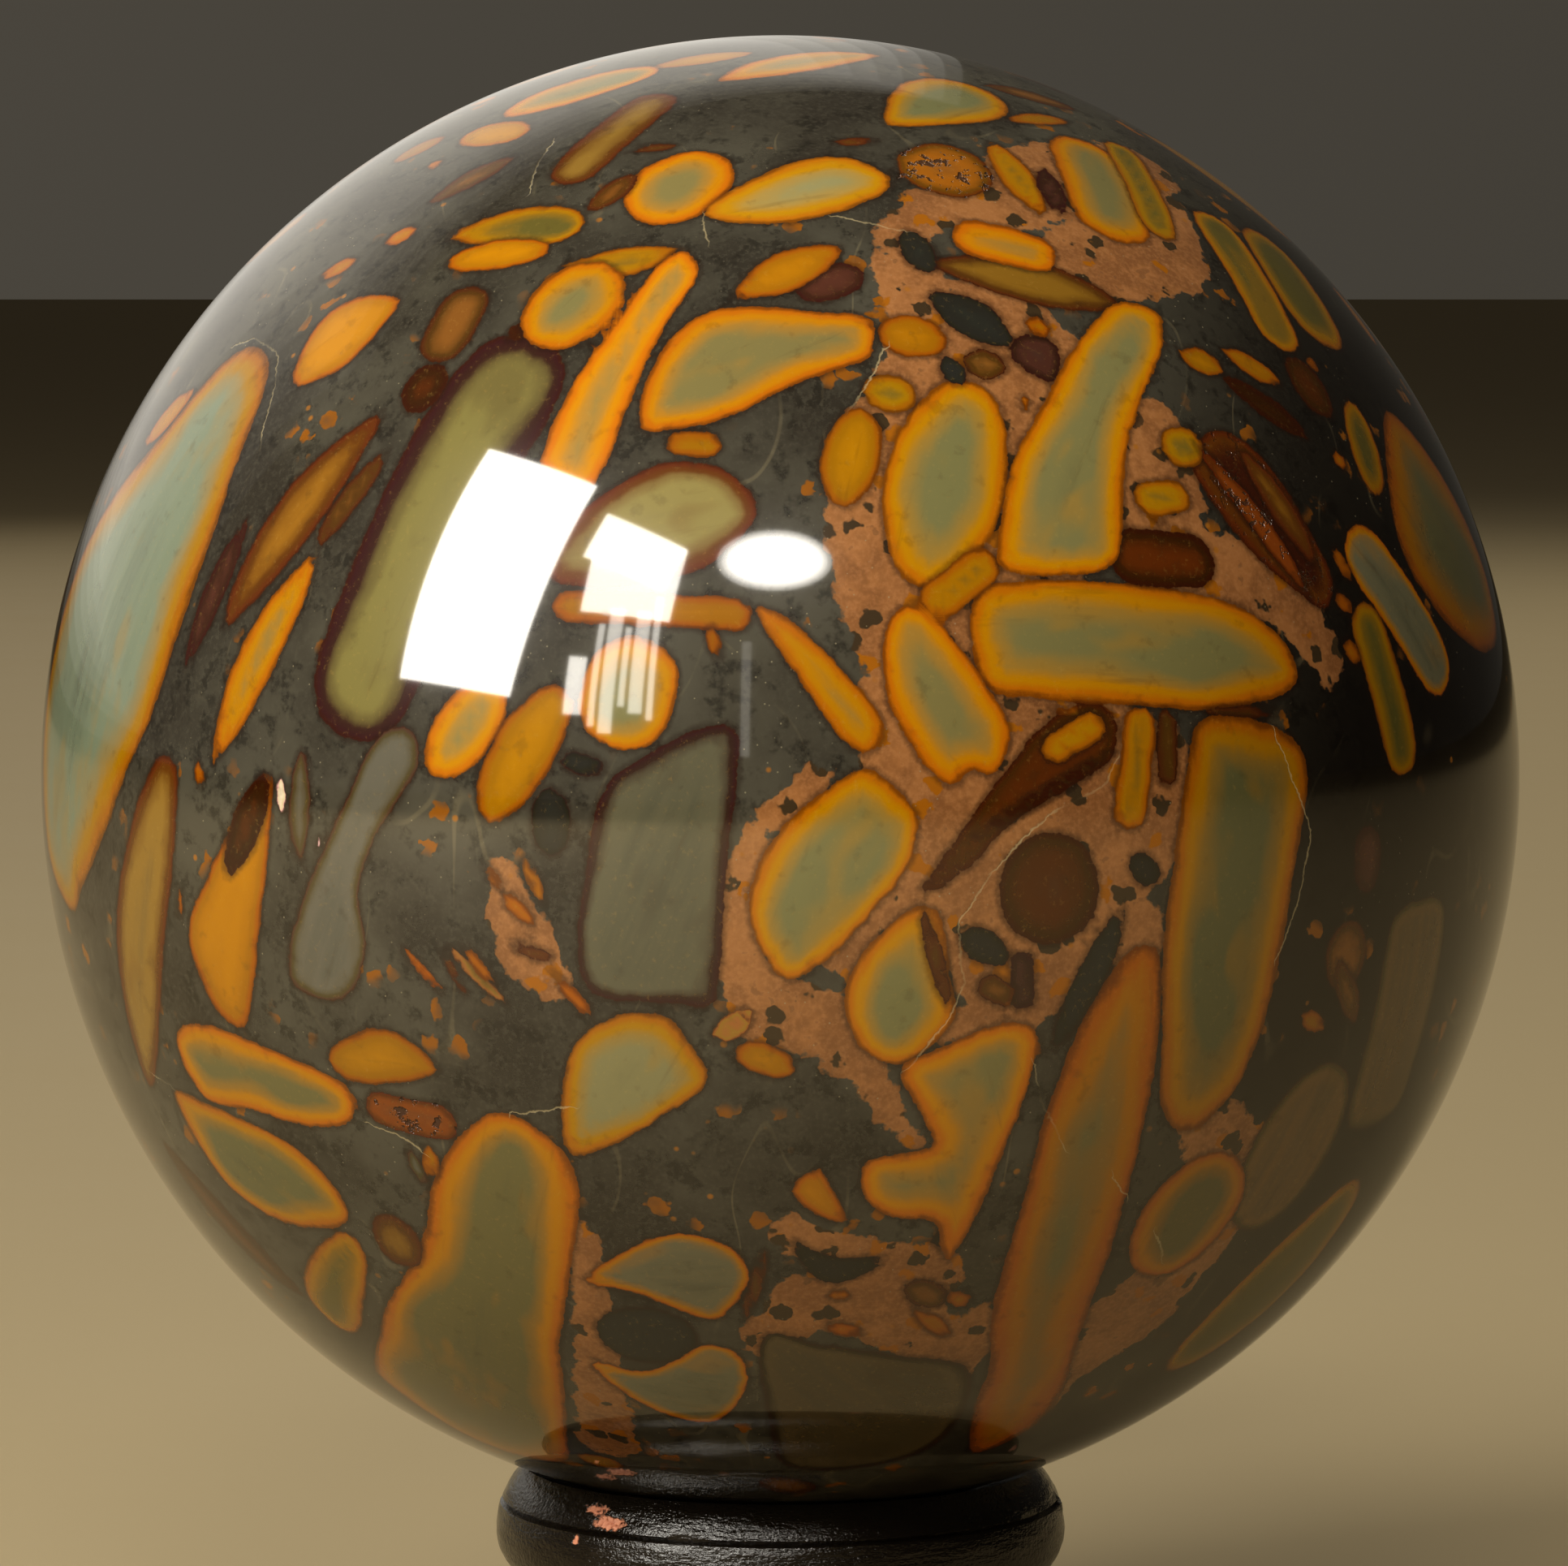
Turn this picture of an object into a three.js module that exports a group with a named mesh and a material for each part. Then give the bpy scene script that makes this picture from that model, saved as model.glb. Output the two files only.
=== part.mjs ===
// A ground and polished stone ball resting in a turned wooden ring stand.
// Millimetres, +Z up, origin at the middle of the stand's underside, front towards -Y.
import * as THREE from 'three';

// Driving dimensions
const BALL_RADIUS = 80;
const STAND_HEIGHT = 32; // underside to the lip that hugs the ball
const BELLY_RADIUS = 31.1; // the upper moulding at its widest
const NECK_RADIUS = 24.9; // the hollow between the mouldings at its narrowest
const BASE_RADIUS = 36; // the foot moulding at its widest
const BORE_RADIUS = 21; // straight hole through the ring
const SEAT_RADIUS = 25; // circle on which the ball bears
const SEAT_GAP = 0.3; // left between the ball and its seat

// Mouldings of the stand
const BELLY_DEPTH = 7; // from the lip down to the belly's widest circle
const BELLY_UPPER_ROUND = 9.3; // radius of the belly's curve above that circle
const BELLY_LOWER_ROUND = 5.7; // radius of its tighter curve below
const BELLY_TUCK = -80; // degrees at which the lower curve ends
const GROOVE_ANGLE = 20; // degrees at which a line is turned into the belly
const GROOVE_HALF_ANGLE = 2.2; // half the width of that line, as degrees of the curve
const GROOVE_DEPTH = 0.55;
const FILLET = 0.9; // square steps above and below the hollow
const FOOT_ROUND = 4.8; // radius of the foot moulding's half round
const PLINTH_RADIUS = 34; // upright edge below the foot moulding
const PLINTH_HEIGHT = 0.9; // how far it would lift a full half round

// Fineness
const AROUND = 64; // facets around the axis, alike on ball and stand so that they run parallel
const BALL_BANDS = 32; // facets from pole to pole
const CHORD_ANGLE = 12; // degrees of a moulding's curve that one facet spans at most

// The seat is a cone that touches the ball, enlarged by the gap, on the seat circle.
const bellyHeight = STAND_HEIGHT - BELLY_DEPTH;
const lipAngle = Math.asin(BELLY_DEPTH / BELLY_UPPER_ROUND);
const lipRadius = BELLY_RADIUS - BELLY_UPPER_ROUND * (1 - Math.cos(lipAngle));
const seatSlope = Math.asin(SEAT_RADIUS / (BALL_RADIUS + SEAT_GAP));
const seatHeight = (radius) => STAND_HEIGHT - (lipRadius - radius) * Math.tan(seatSlope);
const ballHeight = seatHeight(SEAT_RADIUS) + (BALL_RADIUS + SEAT_GAP) * Math.cos(seatSlope);

const stone = new THREE.MeshStandardMaterial({ color: 0x6f5f3a, roughness: 0.06, metalness: 0 });
const lacquer = new THREE.MeshStandardMaterial({ color: 0x0e0d0c, roughness: 0.22, metalness: 0 });

const point = (radius, height) => new THREE.Vector2(radius, height);

// A point on a circle of the section, with 0 degrees straight outwards and 90 straight up.
function onCircle(centre, radius, degrees) {
  const angle = THREE.MathUtils.degToRad(degrees);
  return point(centre.x + radius * Math.cos(angle), centre.y + radius * Math.sin(angle));
}

// An arc of such a circle, both ends included.
function arc(centre, radius, from, to) {
  const chords = Math.ceil(Math.abs(to - from) / CHORD_ANGLE);
  const share = (step) => from + ((to - from) * step) / chords;
  return Array.from({ length: chords + 1 }, (_, step) => onCircle(centre, radius, share(step)));
}

// The foot: a half round on a short upright edge, and the fillet on top of it.
function footSection() {
  const centre = point(BASE_RADIUS - FOOT_ROUND, PLINTH_HEIGHT + FOOT_ROUND);
  const start = -THREE.MathUtils.radToDeg(Math.acos((PLINTH_RADIUS - centre.x) / FOOT_ROUND));
  return [
    point(PLINTH_RADIUS, 0),
    ...arc(centre, FOOT_ROUND, start, 90),
    point(centre.x, centre.y + FOOT_ROUND + FILLET),
  ];
}

// The hollow: level where it leaves the foot, upright where it runs into the neck.
function hollowSection() {
  const round = BASE_RADIUS - FOOT_ROUND - NECK_RADIUS;
  const foot = PLINTH_HEIGHT + 2 * FOOT_ROUND + FILLET;
  const [, ...rising] = arc(point(NECK_RADIUS + round, foot + round), round, -90, -180);
  return rising;
}

// The belly: a full curve with a turned line in it, tighter below than above.
function bellySection() {
  const upper = point(BELLY_RADIUS - BELLY_UPPER_ROUND, bellyHeight);
  const lower = point(BELLY_RADIUS - BELLY_LOWER_ROUND, bellyHeight);
  const tucked = onCircle(lower, BELLY_LOWER_ROUND, BELLY_TUCK);
  const groove = onCircle(upper, BELLY_UPPER_ROUND - GROOVE_DEPTH, GROOVE_ANGLE);
  const lip = THREE.MathUtils.radToDeg(lipAngle);
  const [, ...widening] = arc(upper, BELLY_UPPER_ROUND, 0, GROOVE_ANGLE - GROOVE_HALF_ANGLE);
  return [
    point(NECK_RADIUS, tucked.y - FILLET),
    point(tucked.x, tucked.y - FILLET),
    ...arc(lower, BELLY_LOWER_ROUND, BELLY_TUCK, 0),
    ...widening,
    groove,
    ...arc(upper, BELLY_UPPER_ROUND, GROOVE_ANGLE + GROOVE_HALF_ANGLE, lip),
  ];
}

function ringStand() {
  const section = [
    point(BORE_RADIUS, 0),
    ...footSection(),
    ...hollowSection(),
    ...bellySection(),
    point(BORE_RADIUS, seatHeight(BORE_RADIUS)),
    point(BORE_RADIUS, 0),
  ];
  const mesh = new THREE.Mesh(new THREE.LatheGeometry(section, AROUND).rotateX(Math.PI / 2), lacquer);
  mesh.name = 'ring_stand';
  return mesh;
}

function stoneBall() {
  const ground = new THREE.SphereGeometry(BALL_RADIUS, AROUND, BALL_BANDS).rotateX(Math.PI / 2);
  const mesh = new THREE.Mesh(ground, stone);
  mesh.name = 'stone_ball';
  mesh.position.z = ballHeight;
  return mesh;
}

const ballOnStand = new THREE.Group();
ballOnStand.add(ringStand(), stoneBall());

export default ballOnStand;
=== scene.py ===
"""A polished ball of pebble stone in its turned, black lacquered ring stand."""
import logging
import math
from dataclasses import dataclass, field
from enum import Enum
from typing import Callable, Mapping, Sequence, Union

import bpy
import numpy as np
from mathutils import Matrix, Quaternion, Vector


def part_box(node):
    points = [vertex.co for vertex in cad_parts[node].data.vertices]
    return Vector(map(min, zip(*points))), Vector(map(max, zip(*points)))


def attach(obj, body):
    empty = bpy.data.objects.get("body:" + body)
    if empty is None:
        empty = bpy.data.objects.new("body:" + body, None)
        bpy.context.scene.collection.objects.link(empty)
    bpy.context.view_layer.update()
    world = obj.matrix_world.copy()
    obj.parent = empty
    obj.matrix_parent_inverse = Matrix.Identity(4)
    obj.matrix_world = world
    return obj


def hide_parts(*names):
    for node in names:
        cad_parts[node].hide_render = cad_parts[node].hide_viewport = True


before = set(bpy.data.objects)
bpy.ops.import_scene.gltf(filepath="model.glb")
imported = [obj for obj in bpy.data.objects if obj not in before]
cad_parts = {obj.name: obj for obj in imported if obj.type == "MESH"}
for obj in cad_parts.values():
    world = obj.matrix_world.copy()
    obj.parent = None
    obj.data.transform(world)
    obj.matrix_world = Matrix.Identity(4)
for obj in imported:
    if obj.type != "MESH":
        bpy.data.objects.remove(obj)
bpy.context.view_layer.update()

MM = 0.001
BODY = "root"
BAKE_MAP = "OFBake"  # the name of the map laid out for baking
SEED = 41
TINY = 1e-9  # keeps a division from having nothing to divide by

Place = tuple[float, float]  # degrees east of the front, degrees above the ball's middle
Point = tuple[float, float]  # radius and height in a turned section, in millimetres
Tone = tuple[float, float, float]

log = logging.getLogger("ball_on_stand")


def tone(red: int, green: int, blue: int) -> Tone:
    """Turn a colour of 0 to 255, as it is seen, into the linear one that a shader takes."""
    shares = (red / 255, green / 255, blue / 255)
    return tuple(((share + 0.055) / 1.055) ** 2.4 if share > 0.04045 else share / 12.92 for share in shares)


def outward(place: Place) -> np.ndarray:
    """Give the direction from the ball's middle to a place on it; the front is towards -Y."""
    east, north = np.radians(place)
    return np.array([math.cos(north) * math.sin(east), -math.cos(north) * math.cos(east), math.sin(north)])


# ---------------------------------------------------------------- shader maths


class Wire:
    """A socket in a material, on which Python's own arithmetic adds Math nodes."""

    def __init__(self, sheet: "Sheet", socket: bpy.types.NodeSocket) -> None:
        """Hold one output socket of a sheet."""
        self.sheet = sheet
        self.socket = socket

    def _math(self, operation: str, *values: "Value") -> "Wire":
        """Add one Math node."""
        return self.sheet.add("ShaderNodeMath", {"operation": operation}, dict(enumerate(values)))

    def __add__(self, other: "Value") -> "Wire":
        """Add."""
        return self._math("ADD", self, other)

    def __radd__(self, other: float) -> "Wire":
        """Add to a number."""
        return self._math("ADD", other, self)

    def __sub__(self, other: "Value") -> "Wire":
        """Subtract."""
        return self._math("SUBTRACT", self, other)

    def __rsub__(self, other: float) -> "Wire":
        """Subtract from a number."""
        return self._math("SUBTRACT", other, self)

    def __mul__(self, other: "Value") -> "Wire":
        """Multiply."""
        return self._math("MULTIPLY", self, other)

    def __rmul__(self, other: float) -> "Wire":
        """Multiply a number."""
        return self._math("MULTIPLY", other, self)

    def __truediv__(self, other: "Value") -> "Wire":
        """Divide."""
        return self._math("DIVIDE", self, other)

    def __rtruediv__(self, other: float) -> "Wire":
        """Divide a number."""
        return self._math("DIVIDE", other, self)

    def __neg__(self) -> "Wire":
        """Turn the sign."""
        return self._math("MULTIPLY", self, -1.0)

    def __abs__(self) -> "Wire":
        """Drop the sign."""
        return self._math("ABSOLUTE", self)

    def step(self, low: float, high: float) -> "Wire":
        """Rise smoothly from 0 at low to 1 at high, or fall where low is the greater.

        Args:
            low: the value that gives 0.
            high: the value that gives 1.

        Returns:
            The smoothed share.
        """
        ends = {"From Min": min(low, high), "From Max": max(low, high),
                "To Min": float(low > high), "To Max": float(low < high)}
        settings = {"interpolation_type": "SMOOTHSTEP"}
        return self.sheet.add("ShaderNodeMapRange", settings, {"Value": self, **ends})


Value = Union[Wire, float, Sequence[float]]


class Sheet:
    """The node tree of one material."""

    def __init__(self, name: str) -> None:
        """Start a material with an empty tree.

        Args:
            name: the material's name.
        """
        self.material = bpy.data.materials.new(name)
        self.material.use_nodes = True
        self.tree = self.material.node_tree
        self.tree.nodes.clear()

    def add(self, kind: str, settings: Mapping[str, object], values: Mapping[object, Value],
            out: object = 0) -> Wire:
        """Add a node.

        Args:
            kind: the node's type.
            settings: its settings, set first.
            values: a number, colour or wire for each input, by name or number.
            out: the output wanted, by name or number.

        Returns:
            That output.
        """
        node = self.tree.nodes.new(kind)
        for name, setting in settings.items():
            setattr(node, name, setting)
        for name, value in values.items():
            if isinstance(value, Wire):
                self.tree.links.new(value.socket, node.inputs[name])
            else:
                node.inputs[name].default_value = value
        return Wire(self, node.outputs[out] if node.outputs else None)

    def mix(self, share: Value, first: Value, second: Value, blend: str = "MIX") -> Wire:
        """Blend two colours.

        Args:
            share: how much of the second.
            first: a wire or a linear colour.
            second: the same.
            blend: how the second is laid on the first.

        Returns:
            The blended colour.
        """
        colours = [c if isinstance(c, Wire) else (*c, 1.0) for c in (first, second)]
        settings = {"data_type": "RGBA", "blend_type": blend}
        return self.add("ShaderNodeMix", settings, {0: share, 6: colours[0], 7: colours[1]}, 2)

    def millimetres(self) -> Wire:
        """Give the place on the piece in millimetres."""
        place = self.add("ShaderNodeTexCoord", {}, {}, "Object")
        return self.add("ShaderNodeVectorMath", {"operation": "SCALE"}, {0: place, "Scale": 1 / MM})

    def noise(self, place: Wire, grain: float, detail: float = 2.0, rough: float = 0.5,
              out: object = 0) -> Wire:
        """Give smooth noise between 0 and 1.

        Args:
            place: where, in millimetres.
            grain: size of its blotches in millimetres.
            detail: octaves added.
            rough: how strong they are.
            out: "Color" for three noises at once.

        Returns:
            The noise.
        """
        values = {"Vector": place, "Scale": 1 / grain, "Detail": detail, "Roughness": rough}
        return self.add("ShaderNodeTexNoise", {}, values, out)

    def cells(self, place: Wire, grain: float, out: str = "Distance") -> Wire:
        """Scatter cells, each round a centre of its own.

        Args:
            place: where, in millimetres.
            grain: how many cells lie along a millimetre.
            out: "Color" for a number that belongs to the cell.

        Returns:
            The distance from the nearest centre, as a share of a cell.
        """
        return self.add("ShaderNodeTexVoronoi", {"feature": "F1"}, {"Vector": place, "Scale": grain}, out)

    def axis(self, place: Wire, name: str) -> Wire:
        """Give a place's X, Y or Z."""
        return self.add("ShaderNodeSeparateXYZ", {}, {"Vector": place}, name)

    def stretched(self, place: Wire, scale: Sequence[float]) -> Wire:
        """Give the place with each axis scaled."""
        return self.add("ShaderNodeMapping", {}, {"Vector": place, "Scale": scale})

    def attribute(self, name: str, out: str = "Fac") -> Wire:
        """Read a value stored on the mesh."""
        return self.add("ShaderNodeAttribute", {"attribute_name": name}, {}, out)

    def finish(self, colour: Value, roughness: Value, bump: Value,
               plain: Mapping[str, float]) -> bpy.types.Material:
        """Close the tree with its surface.

        Args:
            colour: base colour.
            roughness: roughness.
            bump: height in millimetres.
            plain: numbers for other sockets of the shader.

        Returns:
            The material.
        """
        normal = self.add("ShaderNodeBump", {}, {"Height": bump, "Distance": MM, "Strength": 1.0})
        values = {"Base Color": colour, "Roughness": roughness, "Normal": normal, **plain}
        surface = self.add("ShaderNodeBsdfPrincipled", {}, values)
        self.add("ShaderNodeOutputMaterial", {}, {"Surface": surface})
        return self.material


# ---------------------------------------------------------------- the stone's figure


@dataclass(frozen=True)
class Stone:
    """How one kind of pebble is coloured, from its skin inwards."""

    rim: Tone
    core: Tone
    rim_width: float  # mm
    open: float = 0.0  # how much of it is pitted


class Kind(Enum):
    """The kinds of pebble in the stone."""

    OCHRE = Stone(tone(158, 92, 0), tone(108, 102, 65), 2.7)
    BROAD = Stone(tone(134, 76, 0), tone(92, 90, 60), 5.4)
    MIST = Stone(tone(140, 84, 2), tone(106, 113, 92), 4.2)
    FROST = Stone(tone(150, 92, 4), tone(122, 116, 80), 2.2)
    MOSS = Stone(tone(146, 84, 0), tone(90, 85, 53), 3.1)
    OLIVE = Stone(tone(136, 82, 0), tone(86, 78, 34), 1.8)
    AMBER = Stone(tone(132, 74, 0), tone(150, 102, 0), 1.8)
    DUSK = Stone(tone(88, 42, 16), tone(124, 114, 70), 2.1)
    HONEY = Stone(tone(84, 42, 12), tone(122, 96, 40), 1.9)
    TIGER = Stone(tone(78, 38, 10), tone(118, 84, 24), 1.7)
    BROWN = Stone(tone(72, 38, 12), tone(112, 73, 28), 1.4)
    MAROON = Stone(tone(50, 21, 20), tone(108, 98, 54), 3.0)
    ASH = Stone(tone(146, 84, 4), tone(98, 95, 74), 1.2)
    TWILIGHT = Stone(tone(50, 26, 24), tone(84, 80, 62), 1.4)
    GREY = Stone(tone(70, 50, 36), tone(88, 84, 72), 0.8)
    DUN = Stone(tone(66, 48, 26), tone(98, 77, 46), 0.8)
    LOAM = Stone(tone(50, 34, 22), tone(84, 74, 52), 0.8)
    SLATE = Stone(tone(34, 26, 23), tone(38, 37, 32), 0.6)
    WINE = Stone(tone(52, 23, 18), tone(72, 42, 31), 0.9)
    RUST = Stone(tone(48, 20, 3), tone(78, 38, 5), 2.0)
    CLAY = Stone(tone(134, 86, 40), tone(142, 94, 48), 0.6)
    PALE = Stone(tone(190, 150, 146), tone(204, 192, 172), 0.4)
    PITTED = Stone(tone(98, 52, 6), tone(144, 88, 16), 1.3, 1.0)
    CHESTNUT = Stone(tone(60, 28, 4), tone(76, 38, 5), 1.7)
    FLAME = Stone(tone(84, 34, 6), tone(116, 60, 14), 0.6, 0.9)
    BANDED = Stone(tone(86, 38, 7), tone(60, 25, 9), 2.4, 0.3)


class Form(Enum):
    """The outlines that a pebble is ground to."""

    OVAL = "oval"
    BAR = "bar"  # straight sides and round ends
    SLAB = "slab"  # straight sides and square ends
    LEAF = "leaf"  # pointed at both ends
    DROP = "drop"  # pointed where it starts


OVAL, BAR, SLAB, LEAF, DROP = Form
(OCHRE, BROAD, MIST, FROST, MOSS, OLIVE, AMBER, DUSK, HONEY, TIGER, BROWN, MAROON, ASH, TWILIGHT, GREY,
 DUN, LOAM, SLATE, WINE, RUST, CLAY, PALE, PITTED, CHESTNUT, FLAME, BANDED) = Kind


# What the pebbles laid at random are made of, each as often as it is named.
LARGE_KINDS = [OCHRE] * 9 + [OLIVE, AMBER, GREY, BROWN] * 2 + [MAROON, TIGER, TWILIGHT, RUST, SLATE, WINE]
SMALL_KINDS = [AMBER] * 4 + [OLIVE, OCHRE, BROWN, SLATE, WINE, RUST, CLAY]


class Chart:
    """A flat map of the ball round one place, true along every line through it."""

    def __init__(self, radius: float, start: np.ndarray, end: np.ndarray) -> None:
        """Centre the map halfway between two directions, with its first axis from one to the other.

        Args:
            radius: the ball's, in millimetres.
            start: the first direction, of length 1.
            end: the second.
        """
        self.radius = radius
        self.centre = (start + end) / np.linalg.norm(start + end)
        ahead = end - start
        ahead -= self.centre * (ahead @ self.centre)
        self.ahead = ahead / max(np.linalg.norm(ahead), TINY)
        self.left = np.cross(self.centre, self.ahead)

    def flatten(self, directions: np.ndarray) -> np.ndarray:
        """Lay directions on the map.

        Args:
            directions: one row for each, of length 1.

        Returns:
            Their places in millimetres along and to the left.
        """
        height = np.clip(directions @ self.centre, -1, 1)
        flat = np.stack([directions @ self.ahead, directions @ self.left], 1)
        span = np.maximum(np.linalg.norm(flat, axis=1, keepdims=True), TINY)
        return flat / span * np.arccos(height)[:, None] * self.radius

    def near(self, directions: np.ndarray, reach: float) -> np.ndarray:
        """Number the directions within a reach, in millimetres, of the centre."""
        return np.flatnonzero(directions @ self.centre > math.cos(min(reach / self.radius, math.pi)))


def nearest_on_line(points: np.ndarray, line: np.ndarray) -> tuple[np.ndarray, np.ndarray, np.ndarray]:
    """Find how far points lie from a line of straight pieces.

    Args:
        points: one row for each, in millimetres.
        line: its corners in order.

    Returns:
        Distance, signed side (positive to the left) and share along the nearest piece.
    """
    start, run = line[:-1], np.diff(line, axis=0)
    away = points[:, None, :] - start[None]
    share = np.clip((away * run).sum(2) / np.maximum((run * run).sum(1), TINY), 0, 1)
    gap = np.linalg.norm(away - share[..., None] * run, axis=2)
    nearest = gap.argmin(1)
    rows = np.arange(len(points))
    side = run[nearest, 0] * away[rows, nearest, 1] - run[nearest, 1] * away[rows, nearest, 0]
    return gap[rows, nearest], np.sign(side), nearest + share[rows, nearest]


class Inclusion:
    """Anything with an outline that is set in the stone."""

    kind: Kind

    def ends(self) -> tuple[np.ndarray, np.ndarray]:
        """Give the directions of its two tips."""
        raise NotImplementedError

    def outline(self, chart: Chart, rng: np.random.Generator) -> np.ndarray:
        """Draw its outline.

        Args:
            chart: a flat map centred between the tips.
            rng: gives its unevenness.

        Returns:
            Its corners, closed, on the map in millimetres.
        """
        raise NotImplementedError

    def depth(self, directions: np.ndarray, radius: float, rng: np.random.Generator,
              margin: float = 5.0) -> tuple[np.ndarray, np.ndarray, np.ndarray]:
        """Measure how far places lie outside its outline.

        Args:
            directions: of all places on the ball.
            radius: the ball's, in millimetres.
            rng: gives the outline's unevenness.
            margin: how far outside still counts.

        Returns:
            The numbers of the places near it, their distance in millimetres, negative inside,
            and where they lie along and across it.
        """
        chart = Chart(radius, *self.ends())
        outline = self.outline(chart, rng)
        near = chart.near(directions, np.linalg.norm(outline, axis=1).max() + margin)
        flat = chart.flatten(directions[near])
        gap = nearest_on_line(flat, outline)[0]
        return near, np.where(self._inside(flat, outline), -gap, gap), flat

    @staticmethod
    def _inside(points: np.ndarray, outline: np.ndarray) -> np.ndarray:
        """Tell which points an outline holds, by how often a level line from each crosses it.

        Args:
            points: one row for each.
            outline: its corners, closed.

        Returns:
            Whether it holds each of them.
        """
        (x0, y0), (x1, y1) = outline[:-1].T, outline[1:].T
        x, y = points[:, :1], points[:, 1:]
        straddles = (y0 > y) != (y1 > y)
        rise = np.where(y1 == y0, TINY, y1 - y0)
        return (straddles & (x < (x1 - x0) * (y - y0) / rise + x0)).sum(1) % 2 == 1


@dataclass(frozen=True)
class Shard(Inclusion):
    """A piece whose outline runs smoothly through given places."""

    kind: Kind
    corners: tuple[Place, ...]
    steps: int = 6  # drawn from each corner to the next

    def ends(self) -> tuple[np.ndarray, np.ndarray]:
        """Give the first corner and the one farthest from it."""
        directions = [outward(corner) for corner in self.corners]
        return directions[0], min(directions, key=lambda each: each @ directions[0])

    def outline(self, chart: Chart, rng: np.random.Generator) -> np.ndarray:
        """Draw a smooth curve through the corners.

        Args:
            chart: a flat map centred between the tips.
            rng: not used, because the corners say it all.

        Returns:
            Points along the curve, closed, on the map in millimetres.
        """
        points = chart.flatten(np.stack([outward(corner) for corner in self.corners]))
        before, after, beyond = (np.roll(points, shift, axis=0) for shift in (1, -1, -2))
        share = np.linspace(0, 1, self.steps, endpoint=False)[None, :, None]
        square, cube = share**2, share**3
        leave, arrive = (after - before) / 2, (beyond - points) / 2
        curve = points[:, None] * (2 * cube - 3 * square + 1) + leave[:, None] * (cube - 2 * square + share)
        curve = curve + after[:, None] * (3 * square - 2 * cube) + arrive[:, None] * (cube - square)
        curve = curve.reshape(-1, 2)
        return np.concatenate([curve, curve[:1]])


@dataclass(frozen=True)
class Pebble(Inclusion):
    """One pebble ground to a regular form."""

    kind: Kind
    start: Place
    end: Place
    width: float  # mm
    form: Form = OVAL
    taper: float = 0.0  # how much wider it is where it ends
    bend: float = 0.0  # mm that its middle lies to the left
    uneven: float = 0.04  # share of its width by which its sides waver
    steps: int = 44  # points along each side

    def ends(self) -> tuple[np.ndarray, np.ndarray]:
        """Give the directions of its two tips."""
        return outward(self.start), outward(self.end)

    def half_widths(self, along: np.ndarray, length: float) -> np.ndarray:
        """Give half the width at places along the pebble.

        Args:
            along: the places, from -1 at its start to 1 at its end.
            length: its whole length in millimetres.

        Returns:
            The half widths, as a share of the greatest.
        """
        slim = max(length / self.width, 1.0)
        flatness = {BAR: 2.3 * slim, SLAB: 5.0 * slim}.get(self.form, 2.0)
        bluntness = {SLAB: 0.36, LEAF: 0.86}.get(self.form, 0.5)
        shape = (1 - np.abs(along) ** flatness) ** bluntness
        if self.form is DROP:
            shape = shape * ((1 + along) / 2) ** 0.42
        shape = shape * (1 + self.taper * along)
        return shape / shape.max()

    def outline(self, chart: Chart, rng: np.random.Generator) -> np.ndarray:
        """Draw the form between the tips, a little unevenly.

        Args:
            chart: a flat map centred between the tips.
            rng: gives its unevenness.

        Returns:
            Its corners, closed, on the map in millimetres.
        """
        half = np.abs(chart.flatten(np.stack(self.ends()))[:, 0]).max()
        turn = np.linspace(0, math.pi, self.steps)
        along = -np.cos(turn)
        width = self.half_widths(along, 2 * half) * self.width / 2
        middle = self.bend * (1 - along**2)
        left = middle + width * (1 + self._waver(turn, rng))
        right = middle - width * (1 + self._waver(turn, rng))
        there = np.stack([along * half, left], 1)
        back = np.stack([along[::-1] * half, right[::-1]], 1)
        return np.concatenate([there, back, there[:1]])

    def _waver(self, turn: np.ndarray, rng: np.random.Generator) -> np.ndarray:
        """Give the unevenness along one side, as a share of the width."""
        return self.uneven * sum(rng.normal() * np.sin(k * turn + rng.uniform(0, 6)) / k for k in (2, 3, 5))


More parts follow.
